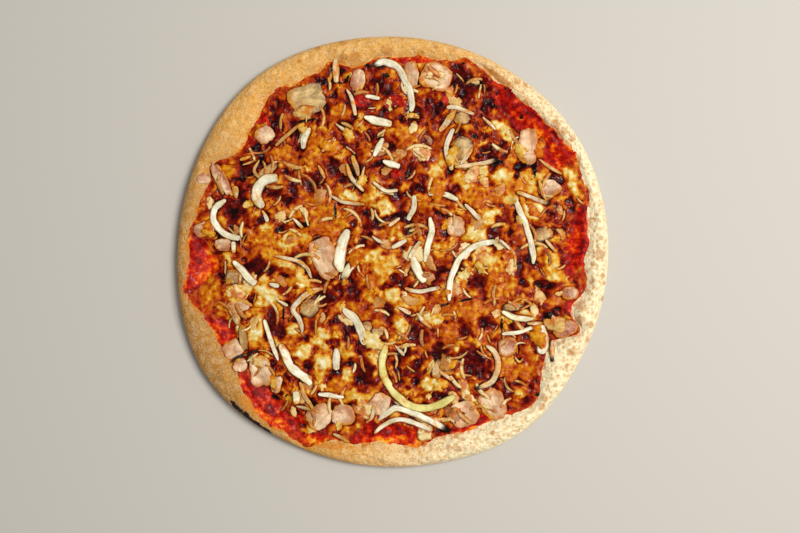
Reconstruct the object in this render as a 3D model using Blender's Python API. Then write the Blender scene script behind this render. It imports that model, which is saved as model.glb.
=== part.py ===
# Pizza about 32 cm across, with tomato sauce, melted cheese, onion strips, sliced ham and mushroom
import math

import bmesh
import bpy
import numpy as np
from mathutils import Vector, noise

# Driving dimensions, in metres
PIZZA_DIAMETER = 0.320
BASE_THICKNESS = 0.0050
RIM_HEIGHT = 0.0135
RIM_FULL_WIDTH = 0.016
EDGE_HEIGHT = 0.0052
UNDER_EDGE = ((0.0013, 0.0016), (0.0042, 0.0))
SAUCE_CLIMB = 0.0042
SLOPE_WIDTH = 0.013
SAUCE_DEPTH = 0.0012
CHEESE_DEPTH = 0.0027
CHEESE_EDGE = 0.0011
ONION_THICKNESS = 0.0022
HAM_THICKNESS = 0.0017
MUSHROOM_THICKNESS = 0.0020
GAP = 0.0003

# Relief as (height in metres, lumps per metre, layer of the noise)
CREST_WANDER = (0.0011, 22, 3.0)
RIM_LUMPS = (0.0006, 95, 7.0)
RIM_DIMPLES = (0.0004, 210, 9.0)
SAUCE_RIPPLE = (0.0003, 80, 12.0)
CHEESE_LUMPS = (0.0016, 45, 21.0)
CHEESE_PUDDLES = (0.0011, 105, 23.0)
SLICE_WAVE = (0.0004, 160)
SLICE_EDGE_WANDER = 0.10
THINNEST_CHEESE = 0.0008
CREST_PLACE = 0.45
CHEESE_RISE_WIDTH = 0.012
SAUCE_TAPER_WIDTH = 0.006

# The mean radius is 219.5 pixels in the photograph, so one pixel is about 0.73 mm on the pizza
MEAN_RADIUS_PX = 219.5
CENTRE_PX = (393.2, 252.0)
PIXEL = PIZZA_DIAMETER / (2 * MEAN_RADIUS_PX)

# Outlines: a plain radius in metres, and lobes as (angle in degrees, half width in degrees, reach in mm)
OUTER_RADIUS = 0.1579
OUTER_LOBES = (
    (128, 24, 5.2),
    (214, 23, 7.2),
    (306, 17, 4.8),
    (32, 20, 1.6),
)
SAUCE_RADIUS = 0.1432
SAUCE_LOBES = (
    (66, 8, 7.5),
    (22, 13, 6.0),
    (-3, 4, -4.0),
    (-18, 4, -6.5),
    (-23, 3, 9.0),
    (-32, 7, -9.0),
    (-48, 6, 8.5),
    (-72, 8, -4.0),
    (-94, 4, -4.5),
    (-115, 5, 9.5),
    (-127, 9, 9.5),
    (-168, 5, 7.0),
    (178, 10, 6.0),
    (154, 4, 7.0),
    (147, 6, -9.5),
    (137, 5, -4.5),
    (128, 4, 4.0),
    (108, 3, 4.0),
    (101, 4, -5.0),
)
# How far the cheese stops short of the sauce, with the places where the sauce lies bare
CHEESE_SETBACK = 0.0040
BARE_SAUCE = (
    (48, 10, 12.0),
    (32, 6, 7.0),
    (4, 9, 11.0),
    (183, 6, 15.0),
    (205, 5, 9.0),
    (-130, 10, 12.0),
    (-92, 11, 8.0),
    (-62, 6, 5.0),
)

# The net that crust, sauce and cheese share, so that their faces lie exactly one above the other
SECTORS = 120
BED_RINGS = (0.45, 0.88, 1.0)
RIM_RINGS = (0.14, 0.31, 0.5, 0.69, 0.84, 0.95, 1.0)
CHEESE_RINGS = 12

# Onion strips: route in photograph pixels, width in mm, share of the width left at the tips
ONIONS = {
    "onion_hook": (
        ((372, 65), (384, 61.5), (397, 66.5), (402, 74), (409, 89), (412, 103), (411, 111)), 5.6, 0.5),
    "onion_crescent": (((278, 177), (265, 180), (258, 187), (256, 197), (263, 208)), 7.6, 0.6),
    "onion_curl": (
        ((225, 199), (215.5, 207.5), (212.5, 216), (215.5, 225), (223.5, 234), (240, 239)), 5.0, 0.6),
    "onion_west_taper": (((233, 261), (245, 274), (256, 284)), 5.6, 0.4),
    "onion_centre_wedge": (((347, 229), (342, 245), (339, 258), (341, 272)), 8.4, 0.4),
    "onion_pale_tail": (((356, 259), (348, 270), (342, 282)), 6.6, 0.4),
    "onion_bend": (
        ((323, 289), (311, 291.5), (299, 300), (292.5, 310.5), (299, 319), (302.5, 332.5)), 4.4, 0.7),
    "onion_west_arc": (((275, 256), (296.5, 260.5), (306, 268), (311.5, 278.5)), 3.2, 0.6),
    "onion_low_west_thin": (((264.5, 319.5), (269, 338), (277.5, 361)), 3.6, 0.6),
    "onion_low_west_thick": (((280.5, 344), (291.5, 366.5), (304, 377.5), (311, 385)), 6.8, 0.45),
    "onion_broad": (((343, 309), (354, 319), (360.5, 330.5), (365, 345)), 6.6, 0.6),
    "onion_stub": (((336, 348), (336.3, 370)), 6.2, 0.7),
    "onion_lime_arc": (
        ((386, 345), (382, 369), (389, 386), (404, 402), (418, 408), (436, 406), (455, 396)), 6.0, 0.5),
    "onion_south_upper": (((377.5, 421.5), (388, 413), (398, 408.5), (425, 418), (447, 429)), 5.0, 0.6),
    "onion_south_lower": (((374.5, 434), (383, 426), (397, 420.5), (410, 422), (433, 430.5)), 4.0, 0.6),
    "onion_north_bow": (((453, 128), (446.5, 147), (449, 160), (452, 170)), 4.0, 0.6),
    "onion_north_cream": (((456, 110), (440, 131)), 5.2, 0.6),
    "onion_north_bar": (((447, 107), (459.5, 107.7), (474, 115)), 3.6, 0.6),
    "onion_burnt_tip": (((455, 166.5), (472.5, 165), (498, 159)), 3.4, 0.7),
    "onion_middle_bar": (((428.5, 193.5), (443.5, 193.5), (458, 200)), 4.4, 0.6),
    "onion_middle_stroke": (((413.5, 195), (413.5, 208), (408, 220)), 4.4, 0.6),
    "onion_middle_long": (((430, 217), (431.5, 230), (426.5, 253), (425, 262)), 5.0, 0.6),
    "onion_thick_white": (((413, 256), (417, 270), (425, 282)), 7.0, 0.5),
    "onion_level_bar": (((405, 288), (415.5, 291.5), (429, 290), (440, 287)), 3.6, 0.6),
    "onion_long_arc": (
        ((495, 241.5), (476.5, 245.5), (465.5, 253.5), (456.5, 263.5), (450.5, 283), (449, 301)), 4.8, 0.5),
    "onion_east_ring": (
        ((486, 345), (495, 352.5), (499, 364), (496, 376), (489.5, 383.5), (476, 389)), 4.8, 0.6),
    "onion_east_bar": (((502, 312), (517, 318), (534, 318.6)), 4.8, 0.6),
    "onion_east_lower": (((502, 334), (519, 332.5), (535, 327.4)), 3.6, 0.6),
    "onion_fang": (((541, 325), (543, 340), (542, 354)), 8.6, 0.35),
    "onion_east_long": (((516.7, 198), (516.7, 204), (526, 224.5), (533.5, 253), (534, 264)), 4.8, 0.6),
    "onion_east_thin": (((516.7, 192.3), (532, 197.5), (551, 204)), 3.4, 0.7),
    "onion_north_chunk": (((364, 116.5), (379, 121), (392, 123)), 6.6, 0.5),
    "onion_north_slip": (((383, 138), (374, 156)), 4.6, 0.6),
    "onion_north_stub": (((383, 160.5), (400, 167)), 5.6, 0.6),
    "onion_spindle": (((335.5, 59), (336.3, 82)), 5.6, 0.5),
    "onion_south_bar": (((318, 395), (330, 396), (344, 398)), 3.8, 0.6),
    "onion_inner_petal": (((346.5, 163.7), (352.4, 179), (364, 191)), 3.4, 0.6),
}

# Slices: centre in photograph pixels, length and width in mm, turn in degrees, how square the outline is
HAM = {
    "ham_west_long": ((220, 178), 27, 8.5, 118, 0.1),
    "ham_west": ((204, 229), 15, 11, 20, 0.4),
    "ham_north_west": ((264, 135), 14, 12, 35, 0.4),
    "ham_north_mauve": ((357.5, 80), 15.5, 10.5, 80, 0.3),
    "ham_north_beige": ((411, 73), 17, 10.5, 95, 0.5),
    "ham_north_shreds": ((436, 76), 21, 19, 160, 0.6),
    "ham_north_east": ((528, 146), 26, 14.5, 84, 0.5),
    "ham_folded": ((325, 258), 30, 18, 112, 0.5),
    "ham_low_west": ((260, 372), 21, 15, 100, 0.7),
    "ham_low_west_roll": ((232, 349), 14, 12, 30, 0.6),
    "ham_south_west": ((319, 417), 18, 16, 40, 0.6),
    "ham_south_round": ((343, 415), 17.5, 17, 0, 0.1),
    "ham_south_east": ((464, 414), 20.5, 18.5, 15, 0.4),
    "ham_low_east": ((493, 405), 23.5, 18, 110, 0.4),
}
MUSHROOMS = {
    "mushroom_north_west": ((307, 100), 26, 23, 25, 0.3),
    "mushroom_east": ((462, 149), 19, 15, 70, 0.2),
    "mushroom_golden": ((543, 234), 14, 11, 20, 0.2),
    "mushroom_west": ((309, 308), 14, 12.5, 55, 0.2),
    "mushroom_low_east": ((437, 369), 14, 8.5, 75, 0.1),
}

# Colour, roughness and metallic value of each food
FINISHES = {
    "crust": ((0.72, 0.45, 0.20), 0.75, 0.0),
    "sauce": ((0.42, 0.03, 0.01), 0.35, 0.0),
    "cheese": ((0.75, 0.42, 0.12), 0.40, 0.0),
    "onion": ((0.80, 0.72, 0.50), 0.35, 0.0),
    "ham": ((0.68, 0.36, 0.24), 0.45, 0.0),
    "mushroom": ((0.55, 0.34, 0.15), 0.55, 0.0),
}

# Grid on which each piece is laid over what lies beneath it
CELL = 0.0006
GRID_HALF = 0.174
STRIP_STEP = 0.0062
SLICE_CORNERS = 12
SLICE_RINGS = (0.55, 1.0)


def clear_scene():
    for thing in list(bpy.data.objects):
        bpy.data.objects.remove(thing, do_unlink=True)


def make_material(name):
    colour, roughness, metallic = FINISHES[name]
    material = bpy.data.materials.new(name)
    material.use_nodes = True
    shader = material.node_tree.nodes["Principled BSDF"]
    shader.inputs["Base Color"].default_value = (*colour, 1.0)
    shader.inputs["Roughness"].default_value = roughness
    shader.inputs["Metallic"].default_value = metallic
    return material


def smooth_step(value):
    value = min(max(value, 0.0), 1.0)
    return value * value * (3 - 2 * value)


def relief(x, y, height, per_metre, layer):
    return height * noise.noise(Vector((x * per_metre, y * per_metre, layer)))


def lobed(angle, lobes):
    total = 0.0
    for centre, half_width, reach_mm in lobes:
        away = (angle - centre + 180) % 360 - 180
        total += reach_mm * 0.001 * math.exp(-(away / half_width) ** 2)
    return total


def outer_radius(angle):
    return OUTER_RADIUS + lobed(angle, OUTER_LOBES)


def sauce_radius(angle):
    return SAUCE_RADIUS + lobed(angle, SAUCE_LOBES)


def cheese_radius(angle):
    return sauce_radius(angle) - CHEESE_SETBACK - lobed(angle, BARE_SAUCE)


def polar(angle, radius):
    turn = math.radians(angle)
    return radius * math.cos(turn), radius * math.sin(turn)


def crust_top(angle, radius):
    # Flat under the toppings, up the inner slope, over a rounded rim and down to the edge
    x, y = polar(angle, radius)
    sauce_edge = sauce_radius(angle)
    width = outer_radius(angle) - sauce_edge
    crest = BASE_THICKNESS + (RIM_HEIGHT - BASE_THICKNESS) * min(1.0, width / RIM_FULL_WIDTH) ** 0.5
    crest += relief(x, y, *CREST_WANDER)
    at_sauce_edge = BASE_THICKNESS + SAUCE_CLIMB
    if radius <= sauce_edge + 1e-7:
        slope = smooth_step((radius - sauce_edge + SLOPE_WIDTH) / SLOPE_WIDTH)
        return BASE_THICKNESS + slope * (at_sauce_edge - BASE_THICKNESS)
    across = (radius - sauce_edge) / width
    if across < CREST_PLACE:
        height = at_sauce_edge + (crest - at_sauce_edge) * math.sin(across / CREST_PLACE * math.pi / 2)
    else:
        fall = min((across - CREST_PLACE) / (1 - CREST_PLACE), 1.0)
        height = EDGE_HEIGHT + (crest - EDGE_HEIGHT) * math.sqrt(1 - fall * fall)
    crags = relief(x, y, *RIM_LUMPS) + relief(x, y, *RIM_DIMPLES)
    return height + crags * math.sin(min(across, 1.0) * math.pi)


def sauce_top(angle, radius):
    x, y = polar(angle, radius)
    inward = smooth_step((sauce_radius(angle) - radius) / SAUCE_TAPER_WIDTH)
    depth = SAUCE_DEPTH * (0.5 + 0.5 * inward) + inward * relief(x, y, *SAUCE_RIPPLE)
    return crust_top(angle, radius) + GAP + depth


def cheese_top(angle, radius):
    x, y = polar(angle, radius)
    inward = smooth_step((cheese_radius(angle) - radius) / CHEESE_RISE_WIDTH)
    lumps = relief(x, y, *CHEESE_LUMPS) + relief(x, y, *CHEESE_PUDDLES)
    depth = CHEESE_EDGE + inward * (CHEESE_DEPTH + lumps - CHEESE_EDGE)
    return sauce_top(angle, radius) + GAP + max(depth, THINNEST_CHEESE)


def sector_angles():
    return [360.0 * index / SECTORS for index in range(SECTORS)]


def outline_middle():
    edge = [polar(angle, outer_radius(angle)) for angle in sector_angles()]
    xs = [point[0] for point in edge]
    ys = [point[1] for point in edge]
    return (min(xs) + max(xs)) / 2, (min(ys) + max(ys)) / 2


MIDDLE = outline_middle()


def spot(pixel):
    # A place in the photograph, in metres from the middle of the pizza's outline, +Y up the photograph
    return (pixel[0] - CENTRE_PX[0]) * PIXEL - MIDDLE[0], (CENTRE_PX[1] - pixel[1]) * PIXEL - MIDDLE[1]


def add_ring(mesh, radius_of, height_of):
    ring = []
    for angle in sector_angles():
        radius = radius_of(angle)
        x, y = polar(angle, radius)
        ring.append(mesh.verts.new((x - MIDDLE[0], y - MIDDLE[1], height_of(angle, radius))))
    return ring


def bridge(mesh, inner, outer):
    count = len(inner)
    for here in range(count):
        after = (here + 1) % count
        mesh.faces.new((inner[here], outer[here], outer[after]))
        mesh.faces.new((inner[here], outer[after], inner[after]))


def fan(mesh, centre, ring):
    count = len(ring)
    for here in range(count):
        mesh.faces.new((centre, ring[here], ring[(here + 1) % count]))


def add_sheet(mesh, radii, height_of):
    # A disc of rings round a middle point; gives back its outermost ring
    centre = mesh.verts.new((-MIDDLE[0], -MIDDLE[1], height_of(0.0, 0.0)))
    previous = None
    for radius_of in radii:
        ring = add_ring(mesh, radius_of, height_of)
        if previous is None:
            fan(mesh, centre, ring)
        else:
            bridge(mesh, previous, ring)
        previous = ring
    return previous


def finish_object(mesh, name, material, crease=40):
    bmesh.ops.recalc_face_normals(mesh, faces=mesh.faces)
    data = bpy.data.meshes.new(name)
    mesh.to_mesh(data)
    mesh.free()
    data.shade_smooth()
    data.set_sharp_from_angle(angle=math.radians(crease))
    data.materials.append(material)
    thing = bpy.data.objects.new(name, data)
    bpy.context.collection.objects.link(thing)
    return thing


def bed_radii():
    return [lambda angle, part=part: cheese_radius(angle) * part for part in BED_RINGS]


def rim_radius(part):
    return lambda angle: sauce_radius(angle) + part * (outer_radius(angle) - sauce_radius(angle))


def make_crust(material):
    mesh = bmesh.new()
    radii = bed_radii() + [sauce_radius] + [rim_radius(part) for part in RIM_RINGS]
    edge = add_sheet(mesh, radii, crust_top)
    for inset, height in UNDER_EDGE:
        lower = add_ring(mesh, lambda angle: outer_radius(angle) - inset, lambda *place: height)
        bridge(mesh, edge, lower)
        edge = lower
    fan(mesh, mesh.verts.new((-MIDDLE[0], -MIDDLE[1], 0.0)), edge)
    return finish_object(mesh, "crust", material, 60)


def make_sauce(material):
    mesh = bmesh.new()
    radii = bed_radii() + [sauce_radius]
    lower = add_sheet(mesh, radii, lambda angle, radius: crust_top(angle, radius) + GAP)
    upper = add_sheet(mesh, radii, sauce_top)
    bridge(mesh, lower, upper)
    return finish_object(mesh, "tomato_sauce", material, 60)


def make_cheese(material):
    mesh = bmesh.new()
    lower = add_sheet(mesh, bed_radii(), lambda angle, radius: sauce_top(angle, radius) + GAP)
    parts = [(index + 1) / CHEESE_RINGS for index in range(CHEESE_RINGS)]
    radii = [lambda angle, part=part: cheese_radius(angle) * part for part in parts]
    upper = add_sheet(mesh, radii, cheese_top)
    bridge(mesh, lower, upper)
    return finish_object(mesh, "melted_cheese", material, 60)


def new_grid():
    cells = int(2 * GRID_HALF / CELL)
    return np.zeros((cells, cells))


def raise_grid(grid, thing):
    # Writes the heights of an object's faces into the grid, where they are the highest so far
    corners = np.array([vertex.co for vertex in thing.data.vertices])
    for polygon in thing.data.polygons:
        a, b, c = corners[list(polygon.vertices)]
        area = (b[0] - a[0]) * (c[1] - a[1]) - (b[1] - a[1]) * (c[0] - a[0])
        if area < 1e-10:
            continue
        low = np.floor((np.minimum(np.minimum(a, b), c)[:2] + GRID_HALF) / CELL).astype(int)
        high = np.ceil((np.maximum(np.maximum(a, b), c)[:2] + GRID_HALF) / CELL).astype(int) + 1
        columns = (np.arange(low[0], high[0]) + 0.5) * CELL - GRID_HALF
        rows = (np.arange(low[1], high[1]) + 0.5) * CELL - GRID_HALF
        x, y = np.meshgrid(columns, rows, indexing="ij")
        second = ((x - a[0]) * (c[1] - a[1]) - (y - a[1]) * (c[0] - a[0])) / area
        third = ((b[0] - a[0]) * (y - a[1]) - (b[1] - a[1]) * (x - a[0])) / area
        inside = (second > -0.02) & (third > -0.02) & (second + third < 1.02)
        height = a[2] + second * (b[2] - a[2]) + third * (c[2] - a[2])
        patch = grid[low[0]:high[0], low[1]:high[1]]
        patch[inside] = np.maximum(patch[inside], height[inside])


def height_below(grid, x, y):
    # The highest of the nine cells round each place
    column = ((x + GRID_HALF) / CELL).astype(int)
    row = ((y + GRID_HALF) / CELL).astype(int)
    highest = np.zeros(x.shape)
    for step_x in (-1, 0, 1):
        for step_y in (-1, 0, 1):
            highest = np.maximum(highest, grid[column + step_x, row + step_y])
    return highest


def settle(grid, flat, triangles, neighbours):
    # Heights for a piece's lower face: it rests on what is beneath with the gap kept, and bridges hollows
    flat = np.array(flat)
    triangles = np.array(triangles)
    steps = 6
    weights = []
    for first in range(steps + 1):
        for second in range(steps + 1 - first):
            weights.append((first / steps, second / steps, (steps - first - second) / steps))
    weights = np.array(weights)
    places = np.einsum("sk,tkc->tsc", weights, flat[triangles])
    needed = height_below(grid, places[..., 0], places[..., 1]) + GAP
    heights = height_below(grid, flat[:, 0], flat[:, 1]) + GAP
    strength = weights / (weights ** 2).sum(axis=1, keepdims=True)
    for turn in range(60):
        if turn in (8, 16, 24):
            stiff = np.array([heights[near].mean() for near in neighbours])
            heights = np.maximum(heights, stiff)
        lack = needed - np.einsum("sk,tk->ts", weights, heights[triangles])
        worst = lack.argmax(axis=1)
        amount = lack[np.arange(len(triangles)), worst]
        lift = np.zeros(len(heights))
        for triangle, sample, missing in zip(triangles, worst, amount):
            if missing > 0:
                lift[triangle] = np.maximum(lift[triangle], missing * strength[sample])
        heights = heights + lift
    lack = needed - np.einsum("sk,tk->ts", weights, heights[triangles])
    return heights + max(lack.max(), 0.0)


def smooth_route(pixels, step):
    # An even walk along a smooth curve through the route's points
    points = [Vector(spot(pixel)) for pixel in pixels]
    ends = [points[0] * 2 - points[1]] + points + [points[-1] * 2 - points[-2]]
    fine = []
    for index in range(1, len(ends) - 2):
        before, here, after, later = ends[index - 1:index + 3]
        for part in range(12):
            t = part / 12
            slope = after - before
            bend = 2 * before - 5 * here + 4 * after - later
            twist = 3 * here - before - 3 * after + later
            fine.append(0.5 * (2 * here + slope * t + bend * t ** 2 + twist * t ** 3))
    fine.append(points[-1])
    lengths = [0.0]
    for index in range(1, len(fine)):
        lengths.append(lengths[-1] + (fine[index] - fine[index - 1]).length)
    count = max(2, round(lengths[-1] / step))
    walk = []
    for index in range(count + 1):
        target = lengths[-1] * index / count
        segment = max(1, next(i for i, length in enumerate(lengths) if length >= target - 1e-9))
        share = (target - lengths[segment - 1]) / (lengths[segment] - lengths[segment - 1])
        walk.append(fine[segment - 1].lerp(fine[segment], share))
    return walk


def make_onion(name, grid, material):
    # A strip with a level underside and a crowned back, thinner and narrower towards its tips
    pixels, width_mm, tip = ONIONS[name]
    walk = smooth_route(pixels, STRIP_STEP)
    last = len(walk) - 1
    flat = []
    shares = []
    for index, point in enumerate(walk):
        along = walk[min(index + 1, last)] - walk[max(index - 1, 0)]
        side = Vector((-along.y, along.x)).normalized()
        share = tip + (1 - tip) * math.sin(math.pi * index / last) ** 0.6
        half = 0.0005 * width_mm * share
        shares.append(share)
        flat += [tuple(point + side * half), tuple(point - side * half)]
    triangles = []
    for index in range(last):
        left, right = 2 * index, 2 * index + 1
        triangles += [(left, right, right + 2), (left, right + 2, left + 2)]
    neighbours = []
    for index in range(len(flat)):
        station = 2 * (index // 2)
        neighbours.append(list(range(max(station - 2, 0), min(station + 4, len(flat)))))
    heights = settle(grid, flat, triangles, neighbours)
    mesh = bmesh.new()
    previous = None
    for index, share in enumerate(shares):
        left = Vector((*flat[2 * index], heights[2 * index]))
        right = Vector((*flat[2 * index + 1], heights[2 * index + 1]))
        thick = ONION_THICKNESS * (0.6 + 0.4 * share)
        up = Vector((0, 0, thick))
        corners = [left, right, right + (left - right) * 0.08 + up * 0.7, (left + right) / 2 + up,
                   left + (right - left) * 0.08 + up * 0.7]
        ring = [mesh.verts.new(corner) for corner in corners]
        if previous:
            bridge(mesh, previous, ring)
        else:
            first = ring
        previous = ring
    for ring in (first, previous):
        for corner in (1, 2, 3):
            mesh.faces.new((ring[0], ring[corner], ring[corner + 1]))
    return finish_object(mesh, name, material, 50)


def make_slice(name, grid, material, shape, thickness, layer):
    # A thin wavy leaf, with its lower and upper face split into the same triangles
    pixel, length_mm, width_mm, turn, square = shape
    middle = spot(pixel)
    cosine, sine = math.cos(math.radians(turn)), math.sin(math.radians(turn))
    flat = [middle]
    for part in SLICE_RINGS:
        for corner in range(SLICE_CORNERS):
            angle = 2 * math.pi * corner / SLICE_CORNERS
            bulge = 1 + square * 0.16 * (1 - math.cos(4 * angle))
            bulge += relief(math.cos(angle), math.sin(angle), SLICE_EDGE_WANDER, 1.7, layer)
            along = part * bulge * 0.0005 * length_mm * math.cos(angle)
            across = part * bulge * 0.0005 * width_mm * math.sin(angle)
            x = middle[0] + along * cosine - across * sine
            y = middle[1] + along * sine + across * cosine
            flat.append((x, y))
    inner = list(range(1, SLICE_CORNERS + 1))
    outer = [index + SLICE_CORNERS for index in inner]
    triangles = []
    for here in range(SLICE_CORNERS):
        after = (here + 1) % SLICE_CORNERS
        triangles.append((0, inner[here], inner[after]))
        triangles.append((inner[here], outer[here], outer[after]))
        triangles.append((inner[here], outer[after], inner[after]))
    neighbours = [[] for _ in flat]
    for triangle in triangles:
        for corner in triangle:
            neighbours[corner] += triangle
    heights = settle(grid, flat, triangles, neighbours)
    mesh = bmesh.new()
    lower = []
    upper = []
    for index, (x, y) in enumerate(flat):
        wave = relief(x, y, *SLICE_WAVE, layer)
        shrink = 0.9 if index in outer else 1.0
        thick = thickness * (1.0 if index not in outer else 0.75) + wave
        lower.append(mesh.verts.new((x, y, heights[index])))
        top_x = middle[0] + (x - middle[0]) * shrink
        top_y = middle[1] + (y - middle[1]) * shrink
        upper.append(mesh.verts.new((top_x, top_y, heights[index] + thick)))
    for triangle in triangles:
        mesh.faces.new([lower[corner] for corner in triangle])
        mesh.faces.new([upper[corner] for corner in triangle])
    bridge(mesh, [lower[index] for index in outer], [upper[index] for index in outer])
    return finish_object(mesh, name, material, 50)


def build():
    clear_scene()
    materials = {name: make_material(name) for name in FINISHES}
    grid = new_grid()
    raise_grid(grid, make_crust(materials["crust"]))
    raise_grid(grid, make_sauce(materials["sauce"]))
    raise_grid(grid, make_cheese(materials["cheese"]))
    layer = 40.0
    for slices, food, thickness in ((MUSHROOMS, "mushroom", MUSHROOM_THICKNESS), (HAM, "ham", HAM_THICKNESS)):
        for name, shape in slices.items():
            layer += 1.0
            raise_grid(grid, make_slice(name, grid, materials[food], shape, thickness, layer))
    for name in ONIONS:
        raise_grid(grid, make_onion(name, grid, materials["onion"]))


build()
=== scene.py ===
import math

import bmesh
import bpy
import numpy as np
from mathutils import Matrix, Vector, noise


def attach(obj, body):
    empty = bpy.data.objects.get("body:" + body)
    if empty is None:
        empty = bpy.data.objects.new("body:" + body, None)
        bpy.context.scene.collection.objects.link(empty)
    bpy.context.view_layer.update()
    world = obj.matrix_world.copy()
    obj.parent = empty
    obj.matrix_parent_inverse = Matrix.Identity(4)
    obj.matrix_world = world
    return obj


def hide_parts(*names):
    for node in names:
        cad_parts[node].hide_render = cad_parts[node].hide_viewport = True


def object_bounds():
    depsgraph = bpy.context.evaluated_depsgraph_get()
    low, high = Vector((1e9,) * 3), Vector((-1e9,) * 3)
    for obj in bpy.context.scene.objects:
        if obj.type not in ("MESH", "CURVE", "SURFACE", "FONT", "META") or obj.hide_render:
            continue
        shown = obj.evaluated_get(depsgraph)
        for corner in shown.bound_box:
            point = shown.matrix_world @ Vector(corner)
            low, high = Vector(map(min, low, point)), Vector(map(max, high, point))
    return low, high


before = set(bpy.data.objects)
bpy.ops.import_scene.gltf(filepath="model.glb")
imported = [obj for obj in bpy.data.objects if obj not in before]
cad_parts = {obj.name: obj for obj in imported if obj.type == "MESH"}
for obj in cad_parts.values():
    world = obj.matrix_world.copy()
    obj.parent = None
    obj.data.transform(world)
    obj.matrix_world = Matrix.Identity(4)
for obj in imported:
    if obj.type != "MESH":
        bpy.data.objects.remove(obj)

cadBox = [list(corner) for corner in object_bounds()]
lowest, highest = cadBox[0][2], cadBox[1][2]

# The photograph's pixels on the pizza: its centre, and 320 mm of mean diameter over 439 pixels
photo = {"centre": (393.2, 252.0), "middle": (400.0, 266.5), "pixel": 0.320 / 439.0, "width": 800}

# The pizza's own outline and layers in metres; lobes are (angle, half width, reach in mm)
dough = {
    "outer": 0.1579, "outerLobes": ((128, 24, 5.2), (214, 23, 7.2), (306, 17, 4.8), (32, 20, 1.6)),
    "base": 0.0050, "rim": 0.0135, "rimWidth": 0.016, "edge": 0.0052, "climb": 0.0042, "slope": 0.013,
    "crest": 0.45, "sectors": 120,
}
sauceLayer = {
    "radius": 0.1432, "depth": 0.0012, "gap": 0.0003, "taper": 0.006,
    "lobes": (
        (66, 8, 7.5), (22, 13, 6.0), (-3, 4, -4.0), (-18, 4, -6.5), (-23, 3, 9.0), (-32, 7, -9.0),
        (-48, 6, 8.5), (-72, 8, -4.0), (-94, 4, -4.5), (-115, 5, 9.5), (-127, 9, 9.5), (-168, 5, 7.0),
        (178, 10, 6.0), (154, 4, 7.0), (147, 6, -9.5), (137, 5, -4.5), (128, 4, 4.0), (108, 3, 4.0),
        (101, 4, -5.0)),
}
cheeseLayer = {
    "setback": 0.0040, "depth": 0.0027, "edge": 0.0011, "rise": 0.012,
    "spill": ((47, 9, 3.5), (32, 7, 3.0), (-128, 13, 4.0), (180, 8, 1.2), (-168, 9, 4.2), (-70, 7, 2.0)),
    "bare": (
        (48, 10, 12.0), (32, 6, 7.0), (4, 9, 11.0), (183, 6, 15.0), (205, 5, 9.0), (-130, 10, 12.0),
        (-92, 11, 8.0), (-62, 6, 5.0)),
}


def smoothStep(value, low=0.0, high=1.0):
    part = np.clip((value - low) / (high - low), 0.0, 1.0)
    return part * part * (3 - 2 * part)


def lobed(angle, lobes):
    total = np.zeros_like(angle)
    for centre, halfWidth, reach in lobes:
        away = (angle - centre + 180) % 360 - 180
        total += reach * 0.001 * np.exp(-(away / halfWidth) ** 2)
    return total


def outerEdge(angle):
    return dough["outer"] + lobed(angle, dough["outerLobes"])


def sauceEdge(angle):
    return sauceLayer["radius"] + lobed(angle, sauceLayer["lobes"])


def cheeseEdge(angle):
    return sauceEdge(angle) - cheeseLayer["setback"] - lobed(angle, cheeseLayer["bare"])


def directions(count):
    # angles in degrees round a ring, and the way that each one points
    angle = np.arange(count) * 360.0 / count
    return angle, np.cos(np.radians(angle)), np.sin(np.radians(angle))


def outlineMiddle():
    angle, cosine, sine = directions(dough["sectors"])
    x, y = outerEdge(angle) * cosine, outerEdge(angle) * sine
    return (x.min() + x.max()) / 2, (y.min() + y.max()) / 2


middleX, middleY = outlineMiddle()


def spot(px, py):
    # a place in the photograph, in metres on the pizza, +Y up the photograph
    x = (px - photo["centre"][0]) * photo["pixel"] - middleX
    y = (photo["centre"][1] - py) * photo["pixel"] - middleY
    return x, y


def polarOf(x, y):
    angle = np.degrees(np.arctan2(y + middleY, x + middleX))
    return angle, np.hypot(x + middleX, y + middleY)


def relief(x, y, height, perMetre, layer):
    flatX, flatY = np.ravel(x), np.ravel(y)
    places = zip((flatX + middleX) * perMetre, (flatY + middleY) * perMetre)
    return height * np.array([noise.noise((*place, layer)) for place in places]).reshape(np.shape(x))


def field(x, y, perMetre, seed):
    # smooth random field from about -1 to 1
    turns = np.random.default_rng(seed).uniform(0, 2 * np.pi, (128, 128))
    u, v = x * perMetre + 41.3, y * perMetre + 67.9
    column, row = np.floor(u).astype(int), np.floor(v).astype(int)
    partU, partV = u - column, v - row

    def corner(stepU, stepV):
        turn = turns[(column + stepU) % 128, (row + stepV) % 128]
        return np.cos(turn) * (partU - stepU) + np.sin(turn) * (partV - stepV)

    easeU = partU ** 3 * (partU * (partU * 6 - 15) + 10)
    easeV = partV ** 3 * (partV * (partV * 6 - 15) + 10)
    low = corner(0, 0) * (1 - easeU) + corner(1, 0) * easeU
    high = corner(0, 1) * (1 - easeU) + corner(1, 1) * easeU
    return 1.5 * (low * (1 - easeV) + high * easeV)


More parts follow.
